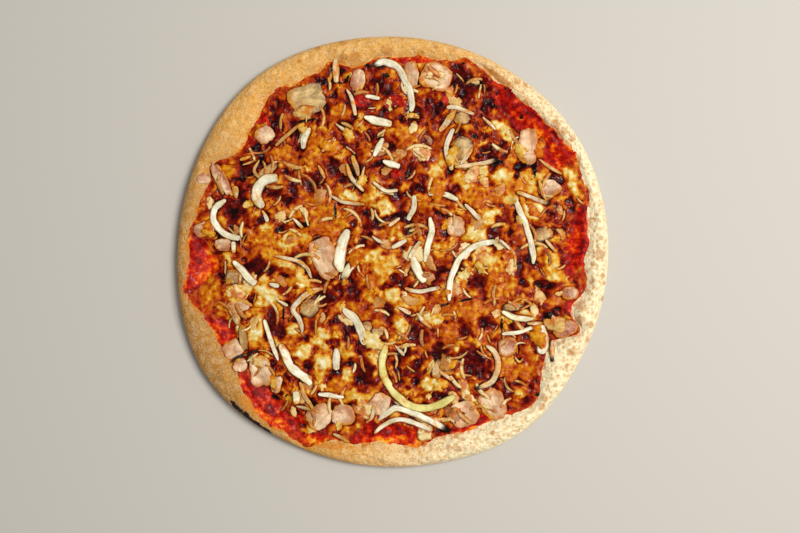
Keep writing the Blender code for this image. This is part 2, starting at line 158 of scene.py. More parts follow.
# Uneven patterns: (size, lumps in a metre or in the unit used, octaves, seed)
waves = {
    "patchEdge": (0.35, 170, 3, 11), "bakeBroad": (0.28, 62, 2, 23), "bakeFine": (0.25, 150, 2, 31),
    "glaze": (1, 100, 2, 43), "seams": (1, 95, 2, 53), "patchTone": (0.15, 230, 2, 37),
    "warmth": (0.34, 75, 3, 67), "frayed": (0.0030, 120, 3, 59), "rimBake": (0.24, 210, 3, 41),
    "lumps": (0.00055, 170, 2, 61), "pimples": (0.00012, 520, 1, 67),
    "doughGrain": (0.00042, 240, 3, 71), "doughSwell": (0.0007, 75, 1, 73),
    "markEdge": (1, 420, 2, 77), "bleed": (0.0034, 150, 4, 79), "sauceEnd": (0.0024, 9, 5, 83),
    "sauceThick": (0.0004, 210, 3, 89), "cheeseEnd": (0.0026, 8, 5, 97), "stripWidth": (0.13, 160, 1, 101),
    "stripNicks": (0.06, 600, 1, 105), "stripPath": (0.0006, 110, 1, 103), "stripLean": (0.45, 75, 1, 107),
    "stripLevel": (0.0007, 90, 1, 111), "stripGrain": (0.00016, 320, 1, 109), "stripFilm": (0.50, 90, 1, 113),
    "sliceBroad": (0.15, 0.9, 1, 211), "sliceFine": (0.10, 2.6, 1, 223), "sliceNicks": (0.07, 6, 1, 225),
    "sliceWave": (0.0009, 120, 1, 227), "sliceGrain": (0.00028, 420, 1, 229), "sliceFolds": (1, 150, 1, 231),
    "sliceCurl": (0.0009, 1.1, 1, 233), "leafBroad": (0.34, 1.4, 1, 307), "leafFine": (0.22, 3.7, 1, 311),
}


def wave(name, x, y, other=0):
    # the named pattern at these places, or one like it with another seed
    size, perMetre, octaves, seed = waves[name]
    total = np.zeros(np.shape(x))
    for octave in range(octaves):
        total += field(x, y, perMetre * 2 ** octave, seed + other + octave) / 2 ** octave
    return size * total


def cellField(x, y, perMetre, seed):
    # distance to the nearest of a jittered set of points, in cells, and that point's own random number
    draw = np.random.default_rng(seed)
    jitter = draw.uniform(0.1, 0.9, (64, 64, 2))
    own = draw.uniform(0, 1, (64, 64))
    u, v = x * perMetre + 53.1, y * perMetre + 29.7
    column, row = np.floor(u).astype(int), np.floor(v).astype(int)
    nearest = np.full(np.shape(x), 9.0)
    number = np.zeros(np.shape(x))
    for stepU in (-1, 0, 1):
        for stepV in (-1, 0, 1):
            place = (column + stepU) % 64, (row + stepV) % 64
            awayU = column + stepU + jitter[place][..., 0] - u
            awayV = row + stepV + jitter[place][..., 1] - v
            away = np.hypot(awayU, awayV)
            closer = away < nearest
            nearest = np.where(closer, away, nearest)
            number = np.where(closer, own[place], number)
    return nearest, number


def doughTop(x, y):
    angle, radius = polarOf(x, y)
    sauceAt = sauceEdge(angle)
    width = outerEdge(angle) - sauceAt
    crest = dough["base"] + (dough["rim"] - dough["base"]) * np.minimum(1.0, width / dough["rimWidth"]) ** 0.5
    crest += relief(x, y, 0.0011, 22, 3.0)
    atSauce = dough["base"] + dough["climb"]
    bed = dough["base"] + smoothStep(radius, sauceAt - dough["slope"], sauceAt) * dough["climb"]
    across = np.clip((radius - sauceAt) / width, 0, 1)
    rising = atSauce + (crest - atSauce) * np.sin(np.minimum(across / dough["crest"], 1) * np.pi / 2)
    fall = np.clip((across - dough["crest"]) / (1 - dough["crest"]), 0, 1)
    falling = dough["edge"] + (crest - dough["edge"]) * np.sqrt(1 - fall * fall)
    rim = np.where(across < dough["crest"], rising, falling)
    rim += (relief(x, y, 0.0006, 95, 7.0) + relief(x, y, 0.0004, 210, 9.0)) * np.sin(across * np.pi)
    return np.where(radius <= sauceAt, bed, rim)


def sauceTop(x, y):
    angle, radius = polarOf(x, y)
    inward = smoothStep(sauceEdge(angle) - radius, 0, sauceLayer["taper"])
    depth = sauceLayer["depth"] * (0.5 + 0.5 * inward) + inward * relief(x, y, 0.0003, 80, 12.0)
    return doughTop(x, y) + sauceLayer["gap"] + depth


def cheeseTop(x, y):
    angle, radius = polarOf(x, y)
    inward = smoothStep(cheeseEdge(angle) - radius, 0, cheeseLayer["rise"])
    lumps = relief(x, y, 0.0016, 45, 21.0) + relief(x, y, 0.0011, 105, 23.0)
    depth = cheeseLayer["edge"] + inward * (cheeseLayer["depth"] + lumps - cheeseLayer["edge"])
    return sauceTop(x, y) + sauceLayer["gap"] + np.maximum(depth, 0.0008)


# Camera straight over the photograph's middle, soft daylight from the right, a plain pale floor
studio = {
    "lens": 50.0, "sensor": 36.0, "topPlane": 0.012,
    "window": {"at": (0.8, 0.22, 1.55), "size": 0.75, "watts": 31.0, "colour": (1.0, 0.965, 0.90)},
    "sky": {"colour": (1.0, 0.98, 0.94), "strength": 0.35},
    "floor": (0.52, 0.50, 0.47),
}


def addObject(name, data):
    made = bpy.data.objects.new(name, data)
    bpy.context.collection.objects.link(made)
    return made


def buildStudio():
    lens = bpy.data.cameras.new("overhead")
    lens.lens, lens.sensor_width = studio["lens"], studio["sensor"]
    lens.clip_start, lens.clip_end = 0.01, 20
    camera = addObject("overhead", lens)
    x, y = spot(*photo["middle"])
    seenWidth = photo["width"] * photo["pixel"]
    camera.location = (x, y, studio["topPlane"] + seenWidth * studio["lens"] / studio["sensor"])
    bpy.context.scene.camera = camera

    window = studio["window"]
    lamp = bpy.data.lights.new("window", "AREA")
    lamp.shape, lamp.size = "SQUARE", window["size"]
    lamp.energy, lamp.color = window["watts"], window["colour"]
    light = addObject("window", lamp)
    light.location = window["at"]
    light.rotation_euler = (-Vector(window["at"])).to_track_quat("-Z", "Y").to_euler()

    world = bpy.data.worlds.new("sky")
    world.use_nodes = True
    sky = world.node_tree.nodes["Background"]
    sky.inputs["Color"].default_value = (*studio["sky"]["colour"], 1)
    sky.inputs["Strength"].default_value = studio["sky"]["strength"]
    bpy.context.scene.world = world
    bpy.context.scene.view_settings.view_transform = "Standard"

    bpy.ops.mesh.primitive_plane_add(size=6.0, location=(0, 0, lowest))
    floor = bpy.context.object
    floor.name = "paleFloor"
    paint = bpy.data.materials.new("palePaint")
    paint.use_nodes = True
    shader = paint.node_tree.nodes["Principled BSDF"]
    shader.inputs["Base Color"].default_value = (*studio["floor"], 1)
    shader.inputs["Roughness"].default_value = 0.7
    floor.data.materials.append(paint)


# Small helpers for nodes; each works in the tree of the sockets that it is given
def linear(red, green, blue):
    # an sRGB colour of 0 to 255 as the linear values that the shader takes
    channels = [value / 255.0 for value in (red, green, blue)]
    return tuple(c / 12.92 if c <= 0.04045 else ((c + 0.055) / 1.055) ** 2.4 for c in channels)


def feed(tree, socket, value):
    # joins an output to a socket, or writes a plain value into it
    if isinstance(value, bpy.types.NodeSocket):
        tree.links.new(value, socket)
    else:
        socket.default_value = (*value, 1) if socket.type == "RGBA" else value


def addNode(tree, kind, inputs=(), **settings):
    node = tree.nodes.new(kind)
    for label, value in settings.items():
        setattr(node, label, value)
    for label, value in dict(inputs).items():
        feed(tree, node.inputs[label], value)
    return node


def treeOf(*values):
    return next(value.id_data for value in values if isinstance(value, bpy.types.NodeSocket))


def maths(operation, first, second, clamp=False):
    settings = {"operation": operation, "use_clamp": clamp}
    return addNode(treeOf(first, second), "ShaderNodeMath", {0: first, 1: second}, **settings).outputs[0]


def times(first, second):
    return maths("MULTIPLY", first, second)


def plus(first, second, clamp=False):
    return maths("ADD", first, second, clamp)


def minus(first, second):
    return maths("SUBTRACT", first, second)


def swing(value, amount):
    # a noise of 0 to 1 as a swing about zero
    return times(minus(value, 0.5), amount)


def blend(factor, first, second, mode="MIX"):
    inputs, settings = {0: factor, 6: first, 7: second}, {"data_type": "RGBA", "blend_type": mode}
    return addNode(treeOf(factor, first, second), "ShaderNodeMix", inputs, **settings).outputs[2]


def spread(value, low, high, toLow=0.0, toHigh=1.0):
    # eases from one number to another while the value goes from low to high
    inputs = dict(enumerate((value, low, high, toLow, toHigh)))
    return addNode(value.id_data, "ShaderNodeMapRange", inputs, interpolation_type="SMOOTHSTEP").outputs[0]


def grain(coords, scale, detail=3.0, rough=0.6):
    inputs = {"Vector": coords, "Scale": scale, "Detail": detail, "Roughness": rough}
    return addNode(coords.id_data, "ShaderNodeTexNoise", inputs).outputs["Fac"]


def mark(tree, name):
    # a value that is written on the mesh
    return addNode(tree, "ShaderNodeAttribute", attribute_name=name).outputs["Fac"]


def shadeRamp(value, shades):
    ramp = addNode(value.id_data, "ShaderNodeValToRGB", {0: value})
    stops = ramp.color_ramp.elements
    while len(stops) < len(shades):
        stops.new(1.0)
    for stop, (place, shade) in zip(stops, shades):
        stop.position, stop.color = place, (*linear(*shade), 1)
    return ramp.outputs[0]


def newMaterial(name):
    material = bpy.data.materials.new(name)
    material.use_nodes = True
    tree = material.node_tree
    coords = tree.nodes.new("ShaderNodeTexCoord").outputs["Object"]
    return material, tree, tree.nodes["Principled BSDF"], coords


def finishShader(shader, colour, roughness, specular, height, bump, soft=None):
    # colour, gloss and a bump of (strength, distance); soft is how much light goes in, and its colour
    tree = shader.id_data
    relieved = addNode(tree, "ShaderNodeBump", {"Strength": bump[0], "Distance": bump[1], "Height": height})
    values = {"Base Color": colour, "Roughness": roughness, "Specular IOR Level": specular,
              "Normal": relieved.outputs[0]}
    if soft:
        values |= {"Subsurface Weight": soft[0], "Subsurface Radius": soft[1], "Subsurface Scale": 0.001}
    for label, value in values.items():
        feed(tree, shader.inputs[label], value)


def newGroup(name, numbers, outputs):
    # a shader node group with coordinates and numbers going in
    tree = bpy.data.node_groups.new(name, "ShaderNodeTree")
    tree.interface.new_socket("Vector", in_out="INPUT", socket_type="NodeSocketVector")
    for label, value in numbers.items():
        tree.interface.new_socket(label, in_out="INPUT", socket_type="NodeSocketFloat").default_value = value
    for label, kind in outputs.items():
        tree.interface.new_socket(label, in_out="OUTPUT", socket_type="NodeSocket" + kind)
    return tree, tree.nodes.new("NodeGroupInput").outputs, tree.nodes.new("NodeGroupOutput").inputs


def placeGroup(group, coords, *numbers):
    # the group's outputs, with its numbers given in the order of its inputs
    inputs = dict(enumerate((coords, *numbers)))
    return addNode(coords.id_data, "ShaderNodeGroup", inputs, node_tree=group).outputs


def brokenEdgeGroup():
    # a soft mask becomes a crisp patch with a ragged edge
    numbers = {"Mask": 0.0, "Scale": 500.0, "Ragged": 0.5, "Softness": 0.12}
    tree, given, made = newGroup("brokenEdge", numbers, {"Patch": "Float"})
    speckle = grain(given["Vector"], given["Scale"], 4.0)
    broken = plus(given["Mask"], times(swing(speckle, given["Ragged"]), 2.0))
    feed(tree, made["Patch"], spread(broken, minus(0.5, given["Softness"]), plus(0.5, given["Softness"])))
    return tree


def mottleGroup():
    # patchy tone at two scales, from 0 to 1
    numbers = {"Coarse": 100.0, "Fine": 600.0, "Balance": 0.5}
    tree, given, made = newGroup("mottle", numbers, {"Tone": "Float"})
    coarse = grain(given["Vector"], given["Coarse"], 3.0, 0.5)
    fine = grain(given["Vector"], given["Fine"], 4.0, 0.65)
    mixed = addNode(tree, "ShaderNodeMix", {0: given["Balance"], 2: coarse, 3: fine}).outputs[0]
    feed(tree, made["Tone"], spread(mixed, 0.3, 0.7))
    return tree


cheeseShades = (
    (0.00, (232, 224, 188)), (0.12, (218, 196, 124)), (0.25, (210, 152, 32)), (0.37, (190, 98, 7)),
    (0.48, (162, 60, 5)), (0.60, (130, 25, 5)), (0.71, (96, 11, 6)), (0.84, (54, 7, 7)), (1.00, (20, 5, 6)))


def bakeGroup():
    # how far the cheese is baked, from cream through gold and red brown to dark glaze
    numbers = {"Bake": 0.4, "Coarse": 0.42, "Fine": 0.12, "Spots": 0.13}
    tree, given, made = newGroup("bakeColours", numbers, {"Colour": "Color", "Value": "Float"})
    coords = given["Vector"]
    value = plus(given["Bake"], swing(grain(coords, 300.0, 2.0, 0.5), given["Coarse"]))
    value = plus(value, swing(grain(coords, 1500.0, 2.0, 0.5), given["Fine"]))
    cells = addNode(tree, "ShaderNodeTexVoronoi", {"Vector": coords, "Scale": 300.0}).outputs
    chosen = addNode(tree, "ShaderNodeSeparateColor", {0: cells["Color"]}).outputs[0]
    dot = times(spread(cells["Distance"], 0.36, 0.14), spread(chosen, 0.5, 0.6))
    value = plus(value, times(dot, given["Spots"]), True)
    feed(tree, made["Colour"], shadeRamp(value, cheeseShades))
    feed(tree, made["Value"], value)
    return tree


brokenEdge, mottle, bakeColours = brokenEdgeGroup(), mottleGroup(), bakeGroup()


def ragged(coords, name, *numbers):
    # a patch with a broken edge where the named mark is high, or where a mask of the material's own is
    mask = mark(coords.id_data, name) if isinstance(name, str) else name
    return placeGroup(brokenEdge, coords, mask, *numbers)[0]


def filmOver(base, coords, cover, bake):
    # cheese that has run over a topping
    return blend(times(cover, 0.9), base, placeGroup(bakeColours, coords, bake)["Colour"])


# colours of the crust; the one after ochre is painted shade for the side away from the lamp, and flour also
# paints the light on the lamp side
crustFinish = {
    "flour": (255, 243, 204), "gold": (244, 180, 68), "ochre": (206, 136, 34), "lee": (146, 92, 26),
    "brown": (184, 108, 22), "pit": (212, 152, 62), "stain": (210, 124, 22), "char": (40, 18, 9),
}


def crustMaterial():
    material, tree, shader, coords = newMaterial("bakedDough")
    x, y, _ = addNode(tree, "ShaderNodeSeparateXYZ", {0: coords}).outputs
    # painted shade: darker towards the left and lower left, the side away from the lamp
    lee = spread(plus(times(x, -0.95), times(y, -0.3)), 0.06, 0.155, 0.0, 0.75)
    flour = times(placeGroup(mottle, coords, 170.0, 900.0, 0.68)[0], 0.5)
    # paler towards the right and the top: partly real flour, partly painted light on the lamp side
    flourAndPaintedLight = plus(flour, spread(minus(x, times(y, 0.30)), -0.02, 0.15, -0.12, 1.0), True)
    pores = addNode(tree, "ShaderNodeTexVoronoi", {"Vector": coords, "Scale": 430.0})
    pore = spread(pores.outputs["Distance"], 0.34, 0.12)
    blotch = placeGroup(mottle, coords, 260.0, 520.0, 0.35)[0]
    base = linear(*crustFinish["ochre"])
    for factor, shade in (
            (placeGroup(mottle, coords, 80.0, 640.0, 0.62)[0], "gold"), (lee, "lee"),
            (plus(flourAndPaintedLight, spread(y, 0.03, 0.14, 0.0, 0.08), True), "flour"),
            # pits and pores painted a darker tan: partly browning, partly painted shade in the hollows
            (times(maths("MAXIMUM", mark(tree, "pit"), times(pore, 0.4)), 0.55), "pit"),
            (spread(blotch, 0.5, 0.9, 0.0, 0.32), "ochre"),
            (times(ragged(coords, "spot", 700.0, 0.4, 0.4), 0.54), "brown"),
            (times(ragged(coords, "stain", 330.0, 0.95, 0.3), 0.7), "stain"),
            (ragged(coords, "char", 500.0, 0.6, 0.2), "char")):
        base = blend(factor, base, linear(*crustFinish[shade]))
    height = minus(grain(coords, 1300.0, 4.0, 0.7), times(pore, 0.5))
    finishShader(shader, base, 0.75, 0.2, height, (0.8, 0.0010))
    return material


sauceShades = (
    (0.0, (104, 6, 6)), (0.25, (158, 14, 6)), (0.45, (196, 40, 6)), (0.62, (220, 88, 8)),
    (0.8, (236, 146, 26)), (1.0, (242, 192, 84)))
burntShade = linear(20, 10, 8)


def bedMaterial():
    # melted cheese with sauce coming through; how far it is baked is written on the mesh
    material, tree, shader, coords = newMaterial("meltedCheese")
    baked = placeGroup(bakeColours, coords, mark(tree, "bake"))
    red = ragged(coords, "tomato", 380.0, 0.7, 0.2)
    redTone = plus(swing(grain(coords, 260.0, 3.0, 0.55), 1.7), times(mark(tree, "warmth"), 0.7), True)
    base = blend(red, baked["Colour"], shadeRamp(redTone, sauceShades))
    base = blend(ragged(coords, "char", 620.0, 0.85, 0.2), base, burntShade)
    wet = times(spread(baked["Value"], 0.4, 0.75), minus(1.0, red))
    glints = spread(grain(coords, 230.0, 2.0, 0.5), 0.57, 0.68, 0.06, 0.32)
    blisters = times(grain(coords, 300.0, 2.0, 0.45), minus(1.0, times(red, 0.45)))
    roughness = spread(minus(wet, red), -1.0, 1.0, 0.42, 0.20)
    finishShader(shader, base, roughness, glints, blisters, (0.7, 0.0014))
    return material


def writeAttribute(mesh, name, values):
    layer = mesh.attributes.new(name, "FLOAT", "POINT")
    layer.data.foreach_set("value", np.asarray(values, dtype=np.float32).ravel())


def readAttribute(mesh, name):
    values = np.empty(len(mesh.vertices), dtype=np.float32)
    mesh.attributes[name].data.foreach_get("value", values)
    return values


def listed(x, y, z):
    # grids of coordinates as one list of points
    return np.stack(np.broadcast_arrays(x, y, z), axis=-1).reshape(-1, 3)


def newMesh(name, points, faces, marks):
    mesh = bpy.data.meshes.new(name)
    mesh.from_pydata(points.tolist(), [], faces)
    mesh.update()
    mesh.shade_smooth()
    for label, values in marks.items():
        writeAttribute(mesh, label, values)
    return mesh


def ridingPiece(name, mesh, node=None):
    # a finished piece on the part's one body, in place of its solid where it has one
    piece = addObject(name, mesh)
    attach(piece, "root")
    if node:
        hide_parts(node)


def meshPiece(name, points, faces, marks, material, slot, node=None):
    mesh = newMesh(name, points, faces, marks)
    mesh.materials.append(material)
    ridingPiece(name, mesh, node)


def pieceName(node):
    first, *others = node.split("_")
    return first + "".join(word.title() for word in others)


def band(inner, outer, around):
    # quads between two closed rings of points, which start at these two numbers
    afters = [*range(1, around), 0]
    return [(inner + here, outer + here, outer + after, inner + after) for here, after in enumerate(afters)]


def ringFaces(rings, around, start=0):
    # quads between closed rings of points, from the innermost outwards, facing up
    starts = range(start, start + (rings - 1) * around, around)
    return [face for inner in starts for face in band(inner, inner + around, around)]


def fan(tip, start, around, flip=False):
    # triangles from one point to a closed ring
    faces = [(tip, start + here, start + (here + 1) % around) for here in range(around)]
    return [face[::-1] for face in faces] if flip else faces


# Patches in photograph pixels: (x, y, half length, half width) and a turn where they have one
patches = {
    "cream": (
        (348, 197, 9, 7), (290, 239, 9, 8), (383, 208, 11, 9), (481, 172, 9, 8), (502, 176, 9, 8),
        (478, 233, 10, 12), (493, 217, 11, 10), (530, 184, 12, 13), (533, 211, 12, 10), (385, 270, 13, 13),
        (268, 296, 16, 8, -25), (295, 329, 10, 8), (320, 336, 9, 8), (256, 330, 8, 15), (484, 257, 11, 9),
        (495, 267, 8, 7), (434, 318, 12, 8), (361, 395, 12, 10), (432, 385, 12, 7), (322, 363, 10, 10),
        (552, 261, 8, 7), (556, 275, 8, 7), (577, 178, 8, 26, 8), (508, 134, 7, 7), (496, 125, 7, 5),
        (284, 262, 9, 6), (240, 289, 11, 9), (302, 282, 9, 8), (372, 255, 9, 6, 40), (452, 228, 9, 8),
        (436, 172, 8, 9), (468, 186, 9, 7), (392, 296, 9, 7), (402, 325, 9, 7), (348, 376, 8, 8),
        (303, 351, 9, 8), (240, 330, 6, 8)),
    "gold": (
        (206, 288, 12, 14), (412, 133, 13, 10), (509, 188, 14, 7), (384, 270, 14, 11), (530, 184, 12, 11),
        (315, 147, 9, 8), (339, 112, 9, 8), (430, 62, 8, 5), (217, 319, 8, 7), (368, 396, 10, 8),
        (300, 236, 12, 9), (270, 256, 10, 9), (488, 262, 12, 9), (462, 178, 12, 8), (345, 350, 8, 9),
        (412, 300, 12, 8), (510, 369, 12, 9), (440, 250, 8, 9), (330, 300, 6, 6), (476, 312, 18, 7, 10),
        (287, 352, 9, 8), (552, 262, 8, 16)),
    "toast": (
        (315, 147, 11, 10), (313, 208, 22, 19), (407, 133, 13, 12), (439, 182, 10, 9), (484, 193, 26, 12),
        (509, 188, 16, 8), (206, 290, 15, 17), (217, 319, 10, 9), (495, 286, 10, 20), (469, 310, 32, 11),
        (452, 334, 14, 12), (487, 330, 14, 12), (511, 370, 9, 8), (529, 371, 9, 8), (368, 280, 13, 8),
        (339, 112, 10, 9), (283, 156, 12, 8), (426, 200, 8, 12), (450, 140, 8, 10), (330, 230, 13, 8),
        (262, 240, 13, 10), (290, 345, 12, 7, 40), (338, 389, 14, 7, 20), (560, 296, 10, 12),
        (524, 226, 9, 9), (352, 309, 8, 9), (425, 345, 10, 9), (380, 325, 8, 9)),
    "glaze": (
        (384, 88, 16, 6, -35), (414, 117, 10, 10), (461, 82, 18, 13, -25), (234, 211, 12, 11),
        (246, 170, 7, 7), (293, 189, 4, 13, 10), (313, 183, 10, 9), (335, 167, 7, 7), (346, 125, 8, 7),
        (420, 188, 9, 4, -20), (454, 189, 6, 5), (396, 195, 8, 7), (407, 230, 7, 6), (372, 214, 6, 6),
        (374, 226, 10, 4), (489, 150, 9, 8), (258, 267, 10, 9), (272, 316, 5, 11), (280, 332, 4, 8),
        (320, 279, 11, 7), (326, 297, 12, 7, -15), (354, 293, 8, 8), (346, 330, 4, 12), (337, 319, 5, 5),
        (388, 312, 5, 11), (435, 277, 5, 8), (478, 283, 8, 7), (460, 270, 6, 6), (418, 334, 10, 10),
        (465, 332, 6, 6), (465, 356, 10, 8), (487, 323, 9, 7), (493, 233, 6, 8), (364, 375, 11, 15),
        (475, 363, 13, 15), (416, 367, 5, 9), (541, 296, 8, 5), (530, 306, 6, 5), (520, 264, 4, 15),
        (508, 391, 5, 10), (527, 402, 6, 6), (320, 108, 8, 7), (555, 175, 8, 7), (436, 396, 15, 4),
        (308, 366, 5, 5), (400, 383, 4, 5), (300, 262, 10, 6, -30), (270, 145, 7, 5), (370, 135, 6, 6),
        (430, 105, 7, 9), (500, 222, 5, 7), (445, 232, 5, 7), (395, 278, 6, 5), (190, 292, 6, 9),
        (330, 405, 8, 4), (405, 352, 6, 8), (440, 350, 8, 6)),
    "tomato": (
        (520, 108, 11, 29, 38), (581, 230, 7, 20), (570, 262, 6, 18), (552, 154, 12, 18, 20),
        (200, 262, 13, 16), (227, 330, 8, 10), (262, 410, 24, 13, -35), (313, 438, 18, 6, -10),
        (372, 427, 12, 6, 10), (403, 434, 22, 8), (470, 428, 18, 6, 15), (412, 60, 28, 3), (261, 118, 9, 7),
        (245, 140, 8, 7), (542, 306, 6, 5), (396, 100, 8, 8), (360, 100, 7, 7), (450, 95, 8, 8),
        (396, 172, 7, 5), (296, 420, 10, 6), (505, 420, 9, 5, 30), (571, 310, 7, 8)),
    "ember": (
        (209, 262, 8, 15), (204, 280, 13, 9), (193, 300, 8, 9), (214, 292, 6, 9), (562, 168, 6, 12, 20),
        (556, 150, 5, 8, 20), (576, 250, 4, 14), (318, 440, 14, 4, -10), (283, 425, 14, 4, -32),
        (395, 440, 20, 4), (252, 405, 6, 4, -40), (468, 432, 14, 4, 15), (262, 416, 14, 4, -40),
        (540, 130, 5, 10, 30), (230, 340, 6, 6)),
    "char": (
        (368, 65, 5, 2, -30), (386, 75, 4, 3), (306, 120, 13, 1.6, 8), (322, 108, 9, 1.4, 45),
        (336, 80, 7, 1.4, -28), (347, 78, 6, 1.4, 55), (454, 86, 3, 2.5), (497, 93, 1.8, 1.4, 20),
        (463, 63, 2, 1.2, 20), (475, 136, 3, 2.5), (522, 116, 2.3, 2, 30), (506, 88, 2, 1.2, 40),
        (535, 167, 2.5, 8), (242, 394, 3, 2.5), (275, 398, 5, 2, -25), (236, 388, 2.2, 1.8),
        (286, 396, 2.6, 1.1, 40), (305, 405, 2, 2), (502, 325, 1.6, 6), (552, 316, 7, 4), (549, 323, 3, 3),
        (552, 362, 3, 5), (538, 395, 3, 2.5), (335, 211, 1.5, 10), (283, 314, 1.2, 9), (306, 224, 4, 3),
        (313, 184, 4, 3.5), (234, 211, 4, 4), (444, 305, 8, 1.3, 16), (466, 300, 9, 1.2, 12),
        (498, 162, 7, 2.4, 20), (447, 431, 5, 3)),
}


def ellipseMask(x, y, shapes, wobble, reach=1.7):
    # 1 inside the ellipses, 0.5 along their outlines, 0 well outside; a shape may leave out its turn
    mask = np.zeros_like(x)
    for px, py, halfLength, halfWidth, *turn in shapes:
        centreX, centreY = spot(px, py)
        far = reach * max(halfLength, halfWidth) * photo["pixel"]
        near = np.nonzero((np.abs(x - centreX) < far) & (np.abs(y - centreY) < far))
        awayX, awayY = (x[near] - centreX) / photo["pixel"], (y[near] - centreY) / photo["pixel"]
        cosine, sine = math.cos(math.radians(sum(turn))), math.sin(math.radians(sum(turn)))
        along, across = awayX * cosine + awayY * sine, awayY * cosine - awayX * sine
        distance = np.hypot(along / halfLength, across / halfWidth) + wobble[near]
        mask[near] = np.maximum(mask[near], np.clip(1.5 - distance, 0, 1))
    return mask


bakeTargets = {"cream": 0.10, "gold": 0.25, "toast": 0.38, "glaze": 0.82}


def bedMarks(x, y):
    # masks of the cheese and sauce surface, with an uneven pattern between the placed patches
    wobble = wave("patchEdge", x, y)
    angle, radius = polarOf(x, y)
    bake = 0.435 + wave("bakeBroad", x, y) + wave("bakeFine", x, y)
    bake += 0.36 * smoothStep(wave("glaze", x, y), 0.22, 0.50) + 0.05 * smoothStep(y, 0.02, 0.09)
    bake += 0.30 * (1 - smoothStep(np.abs(wave("seams", x, y)), 0.010, 0.075))
    for kind, target in bakeTargets.items():
        mask = smoothStep(ellipseMask(x, y, patches[kind], wobble), 0.1, 0.9)
        bake = bake + (target + wave("patchTone", x, y) - bake) * mask * 0.94
    tomato = ellipseMask(x, y, patches["tomato"], wobble * 1.5)
    char = ellipseMask(x, y, patches["char"], wobble * 0.6)
    edge = cheeseEdge(angle)
    frayed = radius + wave("frayed", x, y)
    outside = smoothStep(frayed, edge - 0.0035, edge + 0.0025)
    bareness = smoothStep(lobed(angle, cheeseLayer["bare"]), 0.002, 0.007)
    sauceEnd = sauceEdge(angle) + lobed(angle, cheeseLayer["spill"])
    warmth = 0.30 + wave("warmth", x, y) + 0.34 * smoothStep(frayed, sauceEnd - 0.0040, sauceEnd - 0.0005)
    warmth += 0.42 * smoothStep(ellipseMask(x, y, patches["ember"], wobble), 0.1, 0.9)
    bake += outside * (0.50 + wave("rimBake", x, y) - bake) * 0.9
    tomato = np.maximum(tomato, outside * (0.42 + 0.58 * bareness))
    return {"bake": np.clip(bake, 0.02, 0.98), "tomato": tomato, "char": char, "warmth": warmth}


def bedHeight(x, y, marks, level):
    lumps = wave("lumps", x, y) + wave("pimples", x, y)
    domes = 0.0026 * (0.42 - marks["bake"]) * (1 - 0.6 * marks["tomato"])
    return level + lumps + np.clip(domes, -0.0013, 0.0010)


print("stage 1: camera, light and floor")
buildStudio()

# Heights of everything laid so far, on a square grid over the pizza
ground = {"cell": 0.0006, "half": 0.165}
cells = int(2 * ground["half"] / ground["cell"])
axisPlaces = (np.arange(cells) + 0.5) * ground["cell"] - ground["half"]
gridX, gridY = np.meshgrid(axisPlaces, axisPlaces, indexing="ij")


def coarseToFine(function, step=2):
    # evaluates on every second cell and fills in between
    coarse = function(gridX[::step, ::step], gridY[::step, ::step])
    fine = np.repeat(np.repeat(coarse, step, axis=0), step, axis=1)[:cells, :cells]
    for axis in (0, 1):
        fine = (np.roll(fine, 1, axis) + 2 * fine + np.roll(fine, -1, axis)) / 4
    return fine


def firstHeights():
    angle, radius = polarOf(gridX, gridY)
    marks = bedMarks(gridX, gridY)
    cheese = bedHeight(gridX, gridY, marks, coarseToFine(cheeseTop))
    sauce = coarseToFine(sauceTop)
    rim = coarseToFine(doughTop)
    heights = np.where(radius < cheeseEdge(angle), cheese, sauce)
    heights = np.where(radius < sauceEdge(angle), heights, rim)
    return np.where(radius < outerEdge(angle), heights, lowest)


heights = firstHeights()


def gridIndex(x, y):
    column = np.clip(((x + ground["half"]) / ground["cell"]).astype(int), 1, cells - 2)
    row = np.clip(((y + ground["half"]) / ground["cell"]).astype(int), 1, cells - 2)
    return column, row


def levelUnder(x, y, reach):
    # between the mean and the highest of what lies within reach of each place
    found = []
    for ring, count in ((0.0, 1), (0.55, 6), (1.0, 10)):
        for index in range(count):
            turn = 2 * math.pi * index / count
            column, row = gridIndex(x + ring * reach * math.cos(turn), y + ring * reach * math.sin(turn))
            found.append(heights[column, row])
    return 0.55 * np.mean(found, axis=0) + 0.45 * np.max(found, axis=0)


covered = np.zeros_like(heights)


def layOnTop(x, y, z):
    column, row = gridIndex(np.ravel(x), np.ravel(y))
    for stepX in (-1, 0, 1):
        for stepY in (-1, 0, 1):
            np.maximum.at(heights, (column + stepX, row + stepY), np.ravel(z))
    covered[column, row] = 1


def blurred(grid, rounds):
    for _ in range(rounds):
        for axis in (0, 1):
            grid = (np.roll(grid, 1, axis) + 2 * grid + np.roll(grid, -1, axis)) / 4
    return grid


